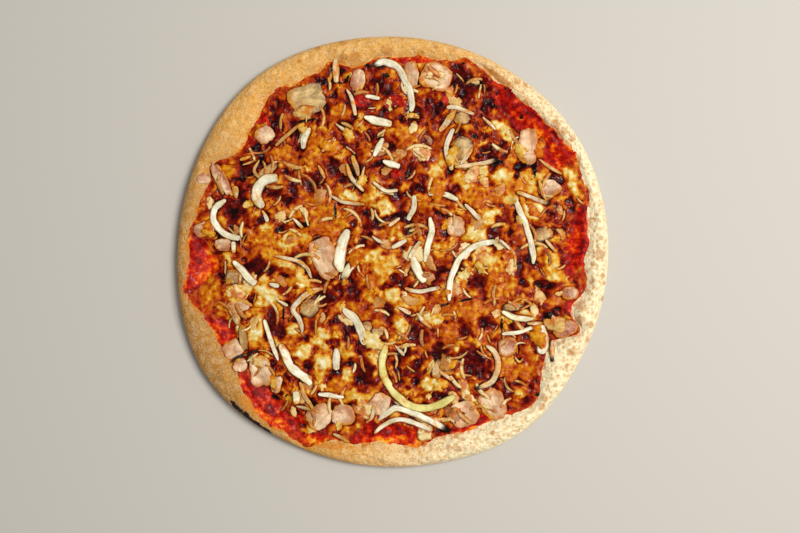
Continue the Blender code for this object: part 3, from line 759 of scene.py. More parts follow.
# Crust: its meshing, and in photograph pixels its brown spots (x, y, radius) and other marks
crustShape = {
    "sectors": 1240, "innerLap": 0.009, "ringsUp": 66,
    "spots": (
        (355, 58, 5), (344, 57, 3), (387, 51, 4.5), (343, 43, 3), (318, 48, 2.5), (310, 47, 1.5),
        (335, 51, 1.8), (555.5, 125, 5), (563.6, 132, 4), (544, 122, 4), (517, 82, 3), (572, 138.5, 3),
        (525, 84, 2), (577.5, 162, 4), (599.5, 254, 5), (604, 299, 3), (590, 324.5, 3), (580.5, 306, 5),
        (580, 320, 4), (572, 352, 4), (593, 280, 2), (603, 275, 2), (604, 283, 2), (593, 264, 2),
        (607, 306, 2), (559, 344, 2), (564, 341, 2), (566, 366, 2), (544.5, 398, 3), (541.6, 406, 3),
        (555, 385.5, 2), (462, 439, 2), (449, 447, 2.5), (458, 448.6, 3), (406.7, 451.5, 2),
        (492.5, 432.5, 2), (598, 220, 2), (590, 190, 2), (601, 238, 2), (588, 340, 2), (230, 180, 2),
        (196, 300, 2), (300, 62, 2), (420, 52, 2.5), (436, 47, 2)),
    "charEdge": (
        (236, 407, 8, 2.6, -48), (246, 416, 8, 2.8, -42), (256, 424, 8, 2.6, -38), (266, 430.5, 6, 2, -32)),
    "amber": (
        (252, 406, 15, 5, -45), (272, 422, 18, 5, -34), (296, 438, 14, 4.5, -20), (330, 446, 18, 3, -4),
        (560, 150, 14, 4, -52), (572, 172, 12, 4, -62), (500, 78, 16, 3, -38), (204, 236, 4, 12, 6)),
}


def buildCrust():
    around = crustShape["sectors"]
    angle, cosine, sine = directions(around)
    sauceAt, outerAt = sauceEdge(angle), outerEdge(angle)
    inner = sauceAt - crustShape["innerLap"]
    parts = np.linspace(0, 1, crustShape["ringsUp"])
    parts = parts + 0.06 * np.sin(parts * np.pi) * parts
    radii = inner + (outerAt - inner) * parts[:, None]
    x, y = radii * cosine - middleX, radii * sine - middleY
    z = doughTop(x, y)
    onRim = smoothStep(radii, sauceAt, sauceAt + 0.003) * smoothStep(outerAt - radii, 0.0, 0.003)
    rightward = smoothStep(x - 0.4 * y, -0.12, 0.14)
    # pits and hollows are sunk into the solid below, and the material paints them darker: partly browning,
    # partly painted shade
    near, own = cellField(x, y, 340, 5)
    pit = smoothStep(0.20 + 0.18 * own - near, 0.0, 0.16) * (own > 0.25) * onRim
    near, own = cellField(x, y, 140, 9)
    blister = smoothStep(0.45 - near, 0.0, 0.45) * (own > 0.5) * onRim
    dimple = smoothStep(0.30 - near, 0.0, 0.25) * (own < 0.3) * onRim
    near, own = cellField(x, y, 230, 13)
    hollow = smoothStep(0.26 + 0.14 * own - near, 0.0, 0.2) * (own > 0.35) * onRim * (0.25 + 0.75 * rightward)
    pit = np.maximum(pit, hollow)
    z += (wave("doughGrain", x, y) + wave("doughSwell", x, y)) * onRim
    z -= 0.00036 * pit * (0.35 + 0.65 * rightward) + 0.00035 * hollow
    z += 0.00050 * blister - 0.0007 * dimple * (0.3 + 0.7 * rightward)
    wobble = wave("markEdge", x, y)
    anywhere = 1000
    rounds = [(px, py, size * 1.15, size * 1.15) for px, py, size in crustShape["spots"]]
    spots = ellipseMask(x, y, rounds, 0.3 * wobble, anywhere)
    z += 0.00035 * spots * onRim
    char = ellipseMask(x, y, crustShape["charEdge"], -0.4 * wobble, anywhere)
    amber = ellipseMask(x, y, crustShape["amber"], -0.5 * wobble, anywhere)
    wetTo = sauceAt + lobed(angle, cheeseLayer["spill"])
    stain = 1 - smoothStep(radii + wave("bleed", x, y), wetTo - 0.0020, wetTo + 0.0014)
    stain = np.maximum(stain, 0.95 * amber)
    z = np.minimum(z, highest - 0.0004)
    # from a middle point under the sauce over the rim to a middle point of the flat underside
    floorUp = dough["base"] - 0.0005
    inside = [(inner * part, floorUp) for part in (0.35, 0.7, 0.97)]
    edge = ((0.0004, 0.0034), (0.0013, 0.0016), (0.0042, 0.0))
    under = [(outerAt - inset, lowest + up) for inset, up in edge]
    under += [(outerAt * part, lowest) for part in (0.7, 0.35)]
    rings = [*inside, *zip(radii, z), *under]
    ringRadii, ringUp = [np.stack([np.broadcast_to(ring[k], around) for ring in rings]) for k in (0, 1)]
    points = listed(ringRadii * cosine - middleX, ringRadii * sine - middleY, ringUp)
    count = len(points)
    points = np.concatenate([points, [[-middleX, -middleY, floorUp], [-middleX, -middleY, lowest]]])
    before, after = np.zeros(len(inside) * around), np.zeros(len(under) * around + 2)
    marks = {
        label: np.concatenate([before, values.ravel(), after])
        for label, values in {"pit": pit, "spot": spots, "stain": stain, "char": char}.items()}
    faces = ringFaces(len(rings), around)
    faces += fan(count, 0, around) + fan(count + 1, count - around, around, True)
    meshPiece("bakedCrust", points, faces, marks, crustMaterial(), "crust", "crust")


# Tomato sauce and cheese
bedShape = {
    "sauceSectors": 820, "sauceRings": 34, "sauceFrom": 0.80, "cheeseSide": 298,
    "underParts": (0.985, 0.97, 0.95, 0.92, 0.88, 0.8),
}


def buildSauce(material):
    around = bedShape["sauceSectors"]
    angle, unitX, unitY = directions(around)
    outer = sauceEdge(angle) + lobed(angle, cheeseLayer["spill"]) + wave("sauceEnd", unitX, unitY)
    inner = cheeseEdge(angle) * bedShape["sauceFrom"]
    parts = np.linspace(0, 1, bedShape["sauceRings"]) ** 0.8
    radii = inner + (outer - inner) * parts[:, None]
    x, y = radii * unitX - middleX, radii * unitY - middleY
    bare = doughTop(x, y)
    thick = sauceTop(x, y) - bare - 0.0005 + wave("sauceThick", x, y)
    z = bare + 0.00008 + np.maximum(thick, 0.0003) * smoothStep(outer - radii, 0.0, 0.0042)
    z[-1] = bare[-1] - 0.0004
    # the underside follows the top, on every third ring from the outside inwards
    under = [*range(len(parts) - 1, 0, -3), 0]
    upper = listed(x, y, z)
    points = np.concatenate([upper, listed(x[under], y[under], np.minimum(bare - 0.0006, z - 0.0004)[under])])
    total = len(upper)
    faces = ringFaces(len(parts), around) + ringFaces(len(under), around, total)
    faces += band(total - around, total, around) + band(len(points) - around, 0, around)
    marks = {
        label: np.concatenate([values.ravel(), values[under].ravel()])
        for label, values in bedMarks(x, y).items()}
    meshPiece("tomatoSauce", points, faces, marks, material, "sauce", "tomato_sauce")


def discGrid(side):
    # a square grid bent into a disc with near even spacing
    line = np.linspace(-1, 1, side)
    u, v = np.meshgrid(line, line, indexing="ij")
    size, length = np.maximum(np.abs(u), np.abs(v)), np.hypot(u, v)
    scale = np.divide(size, length, out=np.zeros_like(size), where=length > 0)
    return [0.5 * a * scale + 0.5 * a * np.sqrt(1 - b * b / 2) for a, b in ((u, v), (v, u))]


def gridFaces(side):
    index = np.arange(side * side).reshape(side, side)
    corners = [index[:-1, :-1], index[1:, :-1], index[1:, 1:], index[:-1, 1:]]
    return index, np.stack(corners, axis=2).reshape(-1, 4).tolist()


def buildCheese(material):
    u, v = discGrid(bedShape["cheeseSide"])
    angle, radius = np.degrees(np.arctan2(v, u)), np.hypot(u, v)
    unitX, unitY = np.cos(np.radians(angle)), np.sin(np.radians(angle))
    frayed = 0.0024 + wave("cheeseEnd", unitX, unitY)
    reach = np.minimum(cheeseEdge(angle) + frayed * smoothStep(radius, 0.6, 1.0), sauceEdge(angle) - 0.0004)
    x, y = u * reach - middleX, v * reach - middleY
    marks = bedMarks(x, y)
    # darker beside the toppings: partly juices pooled round them, partly painted contact shadow
    juicesAndShadeBeside = blurred(covered.copy(), 3)[gridIndex(x, y)]
    marks["bake"] = np.clip(marks["bake"] + 0.26 * smoothStep(juicesAndShadeBeside, 0.08, 0.55), 0, 1)
    edgeDrop = smoothStep(radius, 0.955, 1.0)
    z = bedHeight(x, y, marks, cheeseTop(x, y)) * (1 - edgeDrop) + edgeDrop * (sauceTop(x, y) - 0.0005)
    upper = listed(x, y, z)
    index, faces = gridFaces(bedShape["cheeseSide"])
    rim = np.concatenate([index[:-1, 0], index[-1, :-1], index[:0:-1, -1], index[0, :0:-1]]).tolist()
    around = len(rim)
    # the underside follows the sauce inwards and then runs to a middle point
    rings = [upper[rim] - np.array([0, 0, 0.0006])]
    for part in bedShape["underParts"]:
        ringX, ringY = [
            (upper[rim, k] + middle) * part - middle for k, middle in enumerate((middleX, middleY))]
        ringZ = np.minimum(sauceTop(ringX, ringY), cheeseTop(ringX, ringY)) - 0.0011
        rings.append(listed(ringX, ringY, ringZ))
    points = np.concatenate([upper, *rings, [[-middleX, -middleY, dough["base"] + 0.0012]]])
    tip = len(points) - 1
    for start in range(len(upper), tip - around, around):
        faces += band(start, start + around, around)
    faces += fan(tip, tip - around, around, True)
    for here in range(around):
        after = (here + 1) % around
        faces.append((rim[here], len(upper) + here, len(upper) + after, rim[after]))
    marks = {
        label: np.concatenate([values.ravel(), np.tile(values.ravel()[rim], len(rings)), [0]])
        for label, values in marks.items()}
    meshPiece("meltedCheese", points, faces, marks, material, "cheese", "melted_cheese")


print("stage 2: crust")
buildCrust()
print("stage 3: sauce")
bed = bedMaterial()
buildSauce(bed)

# Onion strips: (route x, y, x, y and so on in photograph pixels), width in mm, tone (-1 lime, 0 white,
# 1 tan), and how far the start and the end are burnt where they are
onionStrips = {
    "onion_hook": ((372, 65, 384, 61.5, 397, 66.5, 402, 74, 409, 89, 412, 103, 411, 111), 5.6, 0.05, 0.9),
    "onion_crescent": ((278, 177, 265, 180, 258, 187, 256, 197, 263, 208), 7.8, -0.05),
    "onion_curl": ((225, 199, 215.5, 207.5, 212.5, 216, 215.5, 225, 223.5, 234, 240, 239), 5.2, 0, 0.2),
    "onion_west_taper": ((233, 261, 245, 274, 256, 284), 5.8, 0),
    "onion_centre_wedge": ((347, 229, 342, 245, 339, 258, 341, 272), 8.8, -0.05),
    "onion_pale_tail": ((356, 259, 348, 270, 342, 282), 6.6, -0.25, 0, 0.9),
    "onion_bend": ((323, 289, 311, 291.5, 299, 300, 292.5, 310.5, 299, 319, 302.5, 332.5), 4.4, 0.2),
    "onion_west_arc": ((275, 256, 296.5, 260.5, 306, 268, 311.5, 278.5), 3.4, 0.25, 0, 0.1),
    "onion_low_west_thin": ((264.5, 319.5, 269, 338, 277.5, 361), 3.6, 0.1),
    "onion_low_west_thick": ((280.5, 344, 291.5, 366.5, 304, 377.5, 311, 385), 7, 0),
    "onion_broad": ((343, 309, 354, 319, 360.5, 330.5, 365, 345), 6.8, 0.1),
    "onion_stub": ((336, 348, 336.3, 370), 6.4, 0.1),
    "onion_lime_arc": ((386, 345, 382, 369, 389, 386, 404, 402, 418, 408, 436, 406, 455, 396), 6, -0.75),
    "onion_south_upper": ((377.5, 421.5, 388, 413, 398, 408.5, 425, 418, 447, 429), 5, -0.1, 0, 0.9),
    "onion_south_lower": ((374.5, 434, 383, 426, 397, 420.5, 410, 422, 433, 430.5), 4, 0.15),
    "onion_north_bow": ((453, 128, 446.5, 147, 449, 160, 452, 170), 4.2, 0.1),
    "onion_north_cream": ((456, 110, 440, 131), 5.2, 0.35),
    "onion_north_bar": ((447, 107, 459.5, 107.7, 474, 115), 3.6, 0.3),
    "onion_burnt_tip": ((455, 166.5, 472.5, 165, 498, 159), 3.4, 0.45, 0, 0.95),
    "onion_middle_bar": ((428.5, 193.5, 443.5, 193.5, 458, 200), 4.6, 0.15),
    "onion_middle_stroke": ((413.5, 195, 413.5, 208, 408, 220), 4.6, 0.1),
    "onion_middle_long": ((430, 217, 431.5, 230, 426.5, 253, 425, 262), 5.2, 0),
    "onion_thick_white": ((413, 256, 417, 270, 425, 282), 7.2, -0.05),
    "onion_level_bar": ((405, 288, 415.5, 291.5, 429, 290, 440, 287), 3.6, 0.2),
    "onion_long_arc": ((495, 241.5, 476.5, 245.5, 465.5, 253.5, 456.5, 263.5, 450.5, 283, 449, 301), 4.9, 0),
    "onion_east_ring": ((486, 345, 495, 352.5, 499, 364, 496, 376, 489.5, 383.5, 476, 389),
        4.8, 0.45, 0.3, 0.9),
    "onion_east_bar": ((502, 312, 517, 318, 534, 318.6), 4.8, -0.3),
    "onion_east_lower": ((502, 334, 519, 332.5, 535, 327.4), 3.6, -0.1),
    "onion_fang": ((541, 325, 543, 340, 542, 354), 8.8, 0, 0.1),
    "onion_east_long": ((516.7, 198, 516.7, 204, 526, 224.5, 533.5, 253, 534, 264), 4.8, 0.1),
    "onion_east_thin": ((516.7, 192.3, 532, 197.5, 551, 204), 3.4, 0.3, 0, 0.9),
    "onion_north_chunk": ((364, 116.5, 379, 121, 392, 123), 6.8, -0.05),
    "onion_north_slip": ((383, 138, 374, 156), 4.8, 0),
    "onion_north_stub": ((383, 160.5, 400, 167), 5.8, 0),
    "onion_spindle": ((335.5, 59, 336.3, 82), 5.6, 0.5, 0, 0.1),
    "onion_south_bar": ((318, 395, 330, 396, 344, 398), 3.8, 0.05),
    "onion_inner_petal": ((346.5, 163.7, 352.4, 179, 364, 191), 3.4, 0.2),
}
looseOnions = (
    ((365, 96, 380, 97.5), 3.8, 0), ((233, 241.5, 233.5, 253), 4.4, 0.05), ((269, 284, 279, 286), 5.6, 0),
    ((299.6, 382, 303.3, 395, 313.5, 410), 3.8, 0.5), ((296, 407, 313.5, 410.5), 3, 0.45),
    ((296, 391, 297, 404), 6.6, -0.3), ((366, 423.5, 372, 417, 373, 405.5), 3, 0.4),
    ((483, 116.5, 496, 129.5), 3, 0.2), ((472, 149, 461, 164), 3.8, 0.3),
    ((464.5, 204.5, 480, 219.5), 3.6, 0.25), ((392, 248, 406.5, 239.5), 4.4, 0.1),
    ((421, 241, 412.5, 252, 409, 259), 3.6, 0.2), ((398, 307.5, 411, 313.5), 3.6, 0.3),
    ((416, 313.5, 431.5, 329), 3.6, 0.35), ((527.7, 323.7, 543, 323.7), 3, 0.2, 0, 0.4),
    ((538, 180, 546.7, 201), 3, 0.35), ((538.7, 159.3, 562, 174), 3, 0.7),
    ((275, 145, 287, 134, 299.6, 124.6), 3, 0.6, 0, 0.2), ((346.5, 88.7, 352.4, 99.7, 356, 115), 3.4, 0.35),
    ((335.5, 122.4, 349.5, 134), 3, 0.4), ((365, 166.6, 359.7, 183.5), 2.6, 0.35),
    ((352.4, 155, 358.3, 176), 4.4, 0.6), ((329, 195, 343.6, 201.8, 365, 204.7), 2.8, 0.4),
    ((262.2, 210, 268, 221.6), 3.6, 0.2), ((258.5, 159.3, 253.4, 170.3, 261.5, 179.8), 2.6, 0.7),
    ((240, 160, 250.5, 155.6), 3.6, 0.7), ((242.4, 165, 256.3, 159.3), 2.4, 0.8),
    ((224.8, 260.7, 224.8, 274), 1.8, 0.5, 0.2), ((333, 434, 350, 442), 2.6, 0.6, 0.3, 0.3),
    ((310, 127.5, 303.3, 138.5, 303, 149), 6, 0.1), ((234, 186, 236, 198), 6, 0.2),
    ((552, 340, 552.6, 362), 3.6, 0.4, 0, 0.95), ((515, 357, 520, 362, 524, 358), 2.4, 0.3),
    ((400, 218, 388, 226), 3.2, 0.2), ((373, 182, 384, 190, 398, 190), 3.2, 0.35),
    ((415, 150, 428, 158), 3, 0.3), ((318, 165, 325, 178), 3.2, 0.45, 0, 0.2),
    ((292, 218, 303, 228), 3, 0.3), ((240, 300, 252, 306), 3, 0.5), ((372, 236, 384, 244), 3.2, 0.15),
    ((500, 240, 510, 250), 3, 0.35), ((545, 240, 556, 252), 3, 0.4), ((440, 372, 452, 380), 3, 0.45, 0, 0.2),
    ((330, 140, 322, 152), 3.2, 0.4), ((395, 345, 404, 356), 3, 0.3), ((278, 300, 288, 306), 3, 0.2),
    ((231.5, 363, 236, 358.5, 244, 355.5, 252, 352, 258, 350.5), 1.7, 0.9, 6, 4),
    ((258, 350.5, 266, 351, 273, 355), 1.6, 0.7),
)


def fibres(tree, stretch, scale):
    # fine lines that run along a topping, different on each one
    place = {0: times(mark(tree, "along"), stretch), 1: mark(tree, "across"), 2: mark(tree, "own")}
    return grain(addNode(tree, "ShaderNodeCombineXYZ", place).outputs[0], scale)


onionShades = {
    "white": ((206, 198, 160), (250, 247, 236)), "tan": ((160, 98, 40), (220, 178, 104)),
    # side is painted shade for one half of a strip's width
    "lime": ((196, 182, 84), (234, 228, 148)), "side": (218, 208, 160), "fibre": (224, 204, 152),
    # rim darkens the edges: partly cooked, partly painted shade
    "rim": (188, 124, 48), "burn": (30, 14, 9),
}


def onionMaterial():
    material, tree, shader, coords = newMaterial("roastOnion")
    fibre = fibres(tree, 0.10, 1300.0)
    patchy, tone = placeGroup(mottle, coords, 150.0, 700.0, 0.45)[0], mark(tree, "tone")
    white, tan, lime = [
        blend(patchy, *(linear(*shade) for shade in onionShades[kind])) for kind in ("white", "tan", "lime")]
    side, fine, rim, burn = [linear(*onionShades[kind]) for kind in ("side", "fibre", "rim", "burn")]
    # painted shade: one half of each strip's width, chosen by its lean, is greyed yellow
    white = blend(spread(mark(tree, "side"), 0.0, 0.9, 0.0, 0.55), white, side)
    base = blend(spread(tone, 0.0, 0.8), white, tan)
    base = blend(spread(tone, 0.0, -0.9), base, lime)
    base = blend(spread(fibre, 0.46, 0.64, 0.0, 0.5), base, fine, "MULTIPLY")
    # darker and more amber towards the edges: partly cooked edges, partly painted shade
    base = blend(spread(mark(tree, "rim"), 0.62, 1.0, 0.0, 0.85), base, rim, "MULTIPLY")
    base = filmOver(base, coords, ragged(coords, "film", 240.0, 0.75, 0.2), 0.29)
    burnt = ragged(coords, "burn", 700.0, 0.5, 0.25)
    base = blend(burnt, base, burn)
    finishShader(
        shader, base, spread(burnt, 0.0, 1.0, 0.38, 0.6), 0.35, fibre, (0.3, 0.0003), (0.2, (1.0, 0.8, 0.5)))
    return material


def smoothRoute(route, step):
    # even places along a smooth curve through the pixels of the route
    points = [Vector(spot(*pixel)) for pixel in zip(route[::2], route[1::2])]
    ends = [points[0] * 2 - points[1], *points, points[-1] * 2 - points[-2]]
    fine = []
    for before, here, after, later in zip(ends, ends[1:], ends[2:], ends[3:]):
        slope = after - before
        bend = 2 * before - 5 * here + 4 * after - later
        twist = 3 * here - before - 3 * after + later
        for t in np.arange(16) / 16:
            fine.append(0.5 * (2 * here + slope * t + bend * t ** 2 + twist * t ** 3))
    fine = np.array([*fine, points[-1]])
    lengths = np.concatenate([[0], np.cumsum(np.hypot(*np.diff(fine, axis=0).T))])
    places = np.linspace(0, lengths[-1], max(8, int(lengths[-1] / step)) + 1)
    return np.stack([np.interp(places, lengths, fine[:, k]) for k in (0, 1)], axis=1), places


stripShape = {
    "step": 0.0008, "thick": 0.0011, "camber": 0.0002, "sink": 0.0006, "tipShare": 0.8, "tipLength": 0.0065,
    "lift": 0.0030,
}


def stripMesh(strip, seed):
    # a strip of onion layer: a thin crowned band that narrows to its tips and follows what it lies on
    route, widthMm, tone, burnStart, burnEnd = (*strip, 0, 0)[:5]
    draw = np.random.default_rng(seed)
    path, places = smoothRoute(route, stripShape["step"])
    fromStart, fromEnd = places, places[-1] - places
    fromTip = np.minimum(fromStart, fromEnd)
    row = np.full_like(places, seed * 0.37)
    tangent = np.gradient(path, axis=0)
    tangent /= np.hypot(*tangent.T)[:, None]
    side = np.stack([-tangent[:, 1], tangent[:, 0]], axis=1)
    tipShares = draw.uniform(0.35, 1.05, 2) * stripShape["tipShare"]
    widening = [
        tip + (1 - tip) * np.clip(away / stripShape["tipLength"], 0, 1) ** 0.8
        for tip, away in zip(tipShares, (fromStart, fromEnd))]
    tips = np.clip(fromTip / (0.00016 * widthMm), 0, 1)
    taper = np.minimum(*widening) * np.sqrt(np.clip(tips * (2 - tips), 0.12, 1))
    wander = 1 + wave("stripWidth", places, row) + wave("stripNicks", places, row)
    half = 0.0005 * widthMm * np.clip(taper, 0, 1) * wander
    path = path + side * wave("stripPath", places, row * 1.7)[:, None]
    lean = draw.uniform(-0.35, 0.35) + wave("stripLean", places, row * 2.3)
    level = levelUnder(path[:, 0], path[:, 1], 0.0005 * widthMm)
    level = np.convolve(np.pad(level, 3, mode="edge"), np.ones(7) / 7, mode="valid")
    level += wave("stripLevel", places, row * 3.1)
    for lift, away in zip(stripShape["lift"] * draw.uniform(-0.5, 1.0, 2), (fromStart, fromEnd)):
        level += max(lift, 0) * np.exp(-away / 0.005)
    # nine points over the top and six back underneath
    across = np.concatenate([np.linspace(-1, 1, 9), np.linspace(0.86, -0.86, 6)])
    onTop = np.arange(15) < 9
    crown = stripShape["camber"] * (1 - across ** 2)
    thick = stripShape["thick"] * (0.55 + 0.45 * np.sqrt(np.clip(taper, 0, 1)))
    upper = crown + thick[:, None] * (0.25 + 0.75 * (1 - np.abs(across) ** 9))
    z = np.where(onTop, upper, crown * 0.6) + (level - stripShape["sink"])[:, None]
    z += (lean * half)[:, None] * across + 0.00012 * np.sin(across * 8 + seed) * onTop
    z += wave("stripGrain", np.repeat(places[:, None], 15, axis=1), row[:, None] + across * 0.004)
    z = np.clip(z, lowest + 0.0002, highest - 0.0003)
    x, y = [path[:, k, None] + side[:, k, None] * half[:, None] * across for k in (0, 1)]
    faces = ringFaces(len(places), 15)
    faces += [tuple(range(15))[::-1], tuple(range(len(places) * 15 - 15, len(places) * 15))]
    layOnTop(x[:, :9], y[:, :9], z[:, :9])
    burn = np.maximum(burnStart * np.exp(-fromStart / 0.0042), burnEnd * np.exp(-fromEnd / 0.0042)) * 1.25
    film = 0.08 + 0.30 * (tone > 0.15) + wave("stripFilm", places, row * 4.7)
    film += 0.5 * np.exp(-fromTip / 0.003) * draw.uniform(0, 1)
    alike = np.ones((len(places), 15))
    marks = {
        "along": places[:, None] * alike, "across": np.outer(half, across), "rim": np.abs(across) * alike,
        "film": film[:, None] * alike, "own": seed * 0.013 * alike, "tone": tone * alike,
        # side marks one half of the width, which the material paints with shade
        "burn": burn[:, None] * alike, "side": np.sign(lean.mean()) * across * alike,
    }
    return listed(x, y, z), faces, marks


def joinParts(parts):
    points, faces, offset = [], [], 0
    for partPoints, partFaces, _ in parts:
        points.append(partPoints)
        faces += [tuple(corner + offset for corner in face) for face in partFaces]
        offset += len(partPoints)
    marks = {label: np.concatenate([np.ravel(part[2][label]) for part in parts]) for label in parts[0][2]}
    return np.concatenate(points), faces, marks


# Sliced ham and mushroom: x, y in photograph pixels, length and width in mm, turn, squareness, tone and
# how browned the edge is
hamSlices = {
    "ham_west_long": (220, 178, 27, 8.5, 118, 0.1, 0.9, 0.4),
    "ham_west": (204, 229, 15, 11, 20, 0.4, 0.8, 0.5),
    "ham_north_west": (264, 135, 14, 12, 35, 0.4, 0.35, 0.6),
    "ham_north_mauve": (357.5, 80, 15.5, 10.5, 80, 0.3, 0.75, 0.4),
    "ham_north_beige": (411, 73, 17, 10.5, 95, 0.5, 0.55, 0.3),
    "ham_north_shreds": (436, 76, 21, 19, 160, 0.6, 0.15, 0.8),
    "ham_north_east": (528, 146, 26, 14.5, 84, 0.5, 0.45, 0.6),
    "ham_folded": (325, 258, 30, 18, 112, 0.5, 0.5, 0.7),
    "ham_low_west": (260, 372, 21, 15, 100, 0.7, 0.02, 0.6),
    "ham_low_west_roll": (232, 349, 14, 12, 30, 0.6, 0.45, 0.3),
    "ham_south_west": (319, 417, 18, 16, 40, 0.6, 0.4, 0.4),
    "ham_south_round": (343, 415, 17.5, 17, 0, 0.1, 0.7, 0.6),
    "ham_south_east": (464, 414, 20.5, 18.5, 15, 0.4, 0.5, 0.4),
    "ham_low_east": (493, 405, 23.5, 18, 110, 0.4, 0.3, 0.8),
}
looseHam = (
    (222, 245, 11.5, 8.5, 0, 0.3, 0.7, 0.5), (550, 189, 15, 13, 30, 0.2, 0.8, 0.4),
    (238, 306, 16, 10, 10, 0.3, 0.5, 0.6), (240, 365, 10, 10, 0, 0.4, 0.55, 0.4),
    (276, 385, 12, 7.5, 80, 0.6, 0.3, 0.5), (508, 347, 14, 13, 20, 0.3, 0.9, 0.9),
    (456, 226, 15, 13, 100, 0.4, 0.4, 0.7), (566, 329, 17, 12, 30, 0.2, 1, 0.9),
    (570, 293, 12, 10, 0, 0.2, 1, 0.9), (379, 404, 16, 14, 60, 0.4, 0.35, 0.3),
    (204, 178, 9, 8, 0, 0.3, 0.8, 0.4), (322, 243, 12, 8, 20, 0.3, 0.5, 0.5),
)
mushroomSlices = {
    "mushroom_north_west": (307, 100, 26, 23, 25, 0.3, 0.3, 0.5),
    "mushroom_east": (462, 149, 19, 15, 70, 0.2, 0.5, 0.7),
    "mushroom_golden": (543, 234, 14, 11, 20, 0.2, 0.7, 0.9),
    "mushroom_west": (309, 308, 14, 12.5, 55, 0.2, 0.5, 0.7),
    "mushroom_low_east": (437, 369, 14, 8.5, 75, 0.1, 0.4, 0.9),
}
looseMushrooms = (
    (462, 118, 11, 10, 0, 0.2, 0.6, 0.8), (366, 327, 9, 8, 30, 0.2, 0.5, 0.8),
    (378, 331, 9, 8, 0, 0.2, 0.5, 0.7), (267, 170, 17, 6, 35, 0.2, 0.4, 0.6),
    (234, 315, 15, 6, 118, 0.2, 0.6, 0.5), (243, 338, 18, 6, 98, 0.2, 0.6, 0.5),
    (513, 307, 14.5, 6, 5, 0.2, 0.5, 0.8), (475, 81, 8, 4, -20, 0.2, 0.6, 0.6),
    (448, 364, 12, 7, 80, 0.1, 0.5, 0.9), (375, 343, 9, 7, 0, 0.2, 0.7, 0.8),
    (234, 277, 14, 11, 0, 0.3, 0.8, 0.9),
)
sliceShape = {"around": 56, "rings": 14, "ham": 0.0011, "mushroom": 0.0012, "sink": 0.0003}


def sliceMesh(shape, thickness, seed):
    # a thin uneven leaf of ham or mushroom that dips into the cheese in places
    px, py, lengthMm, widthMm, turn, square, tone, browned = shape
    centreX, centreY = spot(px, py)
    around, rings = sliceShape["around"], sliceShape["rings"]
    angle = np.arange(around) * 2 * np.pi / around
    unitX, unitY = np.cos(angle), np.sin(angle)
    bulge = 1 + square * 0.16 * (1 - np.cos(4 * angle))
    bulge += wave("sliceBroad", unitX + seed, unitY) + wave("sliceFine", unitX, unitY + seed)
    bulge += np.abs(wave("sliceNicks", unitX + seed, unitY - seed))
    parts = np.concatenate([[0.0], np.linspace(0.12, 0.93, rings - 3), [0.985, 1.0]])[:, None]
    along = parts * bulge * 0.0005 * lengthMm * unitX
    across = parts * bulge * 0.0005 * widthMm * unitY
    cosine, sine = math.cos(math.radians(turn)), math.sin(math.radians(turn))
    x, y = centreX + along * cosine - across * sine, centreY + along * sine + across * cosine
    bedLevel = levelUnder(x, y, 0.0022)
    level = np.maximum(0.7 * bedLevel + 0.3 * bedLevel.mean(), bedLevel - 0.0001) - sliceShape["sink"]
    dips = np.maximum(wave("sliceWave", x, y, seed % 7) + wave("sliceGrain", x, y), -0.00045)
    folds = wave("sliceFolds", x * 0.35 + seed, y)
    curl = wave("sliceCurl", unitX + seed, unitY) * parts ** 2
    rounded = 0.25 + 0.75 * np.sqrt(np.clip(1 - parts ** 8, 0, 1))
    upperZ = level + dips + 0.0010 * smoothStep(folds, 0.15, 0.8) + curl + thickness * rounded
    upperZ = np.clip(upperZ, lowest, highest - 0.0003)
    lowerZ = np.minimum(level + 0.5 * dips + curl - 0.0002, upperZ - 0.0004)
    upper, lower = [listed(x[1:], y[1:], z[1:]) for z in (upperZ, lowerZ)]
    middles = [[centreX, centreY, z[0].mean()] for z in (upperZ, lowerZ)]
    points, total = np.concatenate([upper, lower, middles]), len(upper)
    faces = ringFaces(rings - 1, around) + [face[::-1] for face in ringFaces(rings - 1, around, total)]
    faces += fan(2 * total, 0, around) + fan(2 * total + 1, total, around, True)
    faces += band(total - around, 2 * total - around, around)
    layOnTop(x, y, upperZ)
    low = smoothStep(-dips - curl, 0.0001, 0.0009)
    low = np.maximum(low, 0.95 * smoothStep(parts * np.cos(angle - seed * 1.7), 0.35, 0.95))
    # slope runs across each slice; the material paints a light side and a shaded side from it
    marks = {
        "edge": np.broadcast_to(parts, x.shape), "slope": parts * np.cos(angle + seed), "film": low,
        # crease is painted darker in the material, as shade in the folds
        "crease": smoothStep(0.35 - np.abs(folds - 0.3), 0.0, 0.35), "along": along, "across": across,
    }
    marks = {label: np.concatenate([*[values[1:].ravel()] * 2, [0, 0]]) for label, values in marks.items()}
    for label, value in (("tone", tone), ("browned", browned), ("own", seed * 0.017)):
        marks[label] = np.full(len(points), value)
    return points, faces, marks


sliceShades = {
    "ham": ((232, 208, 172), (214, 170, 128), (172, 102, 76), (190, 112, 30)),
    "mushroom": ((216, 188, 130), (190, 146, 84), (154, 98, 44), (84, 38, 12)), "shade": (206, 148, 88),
}


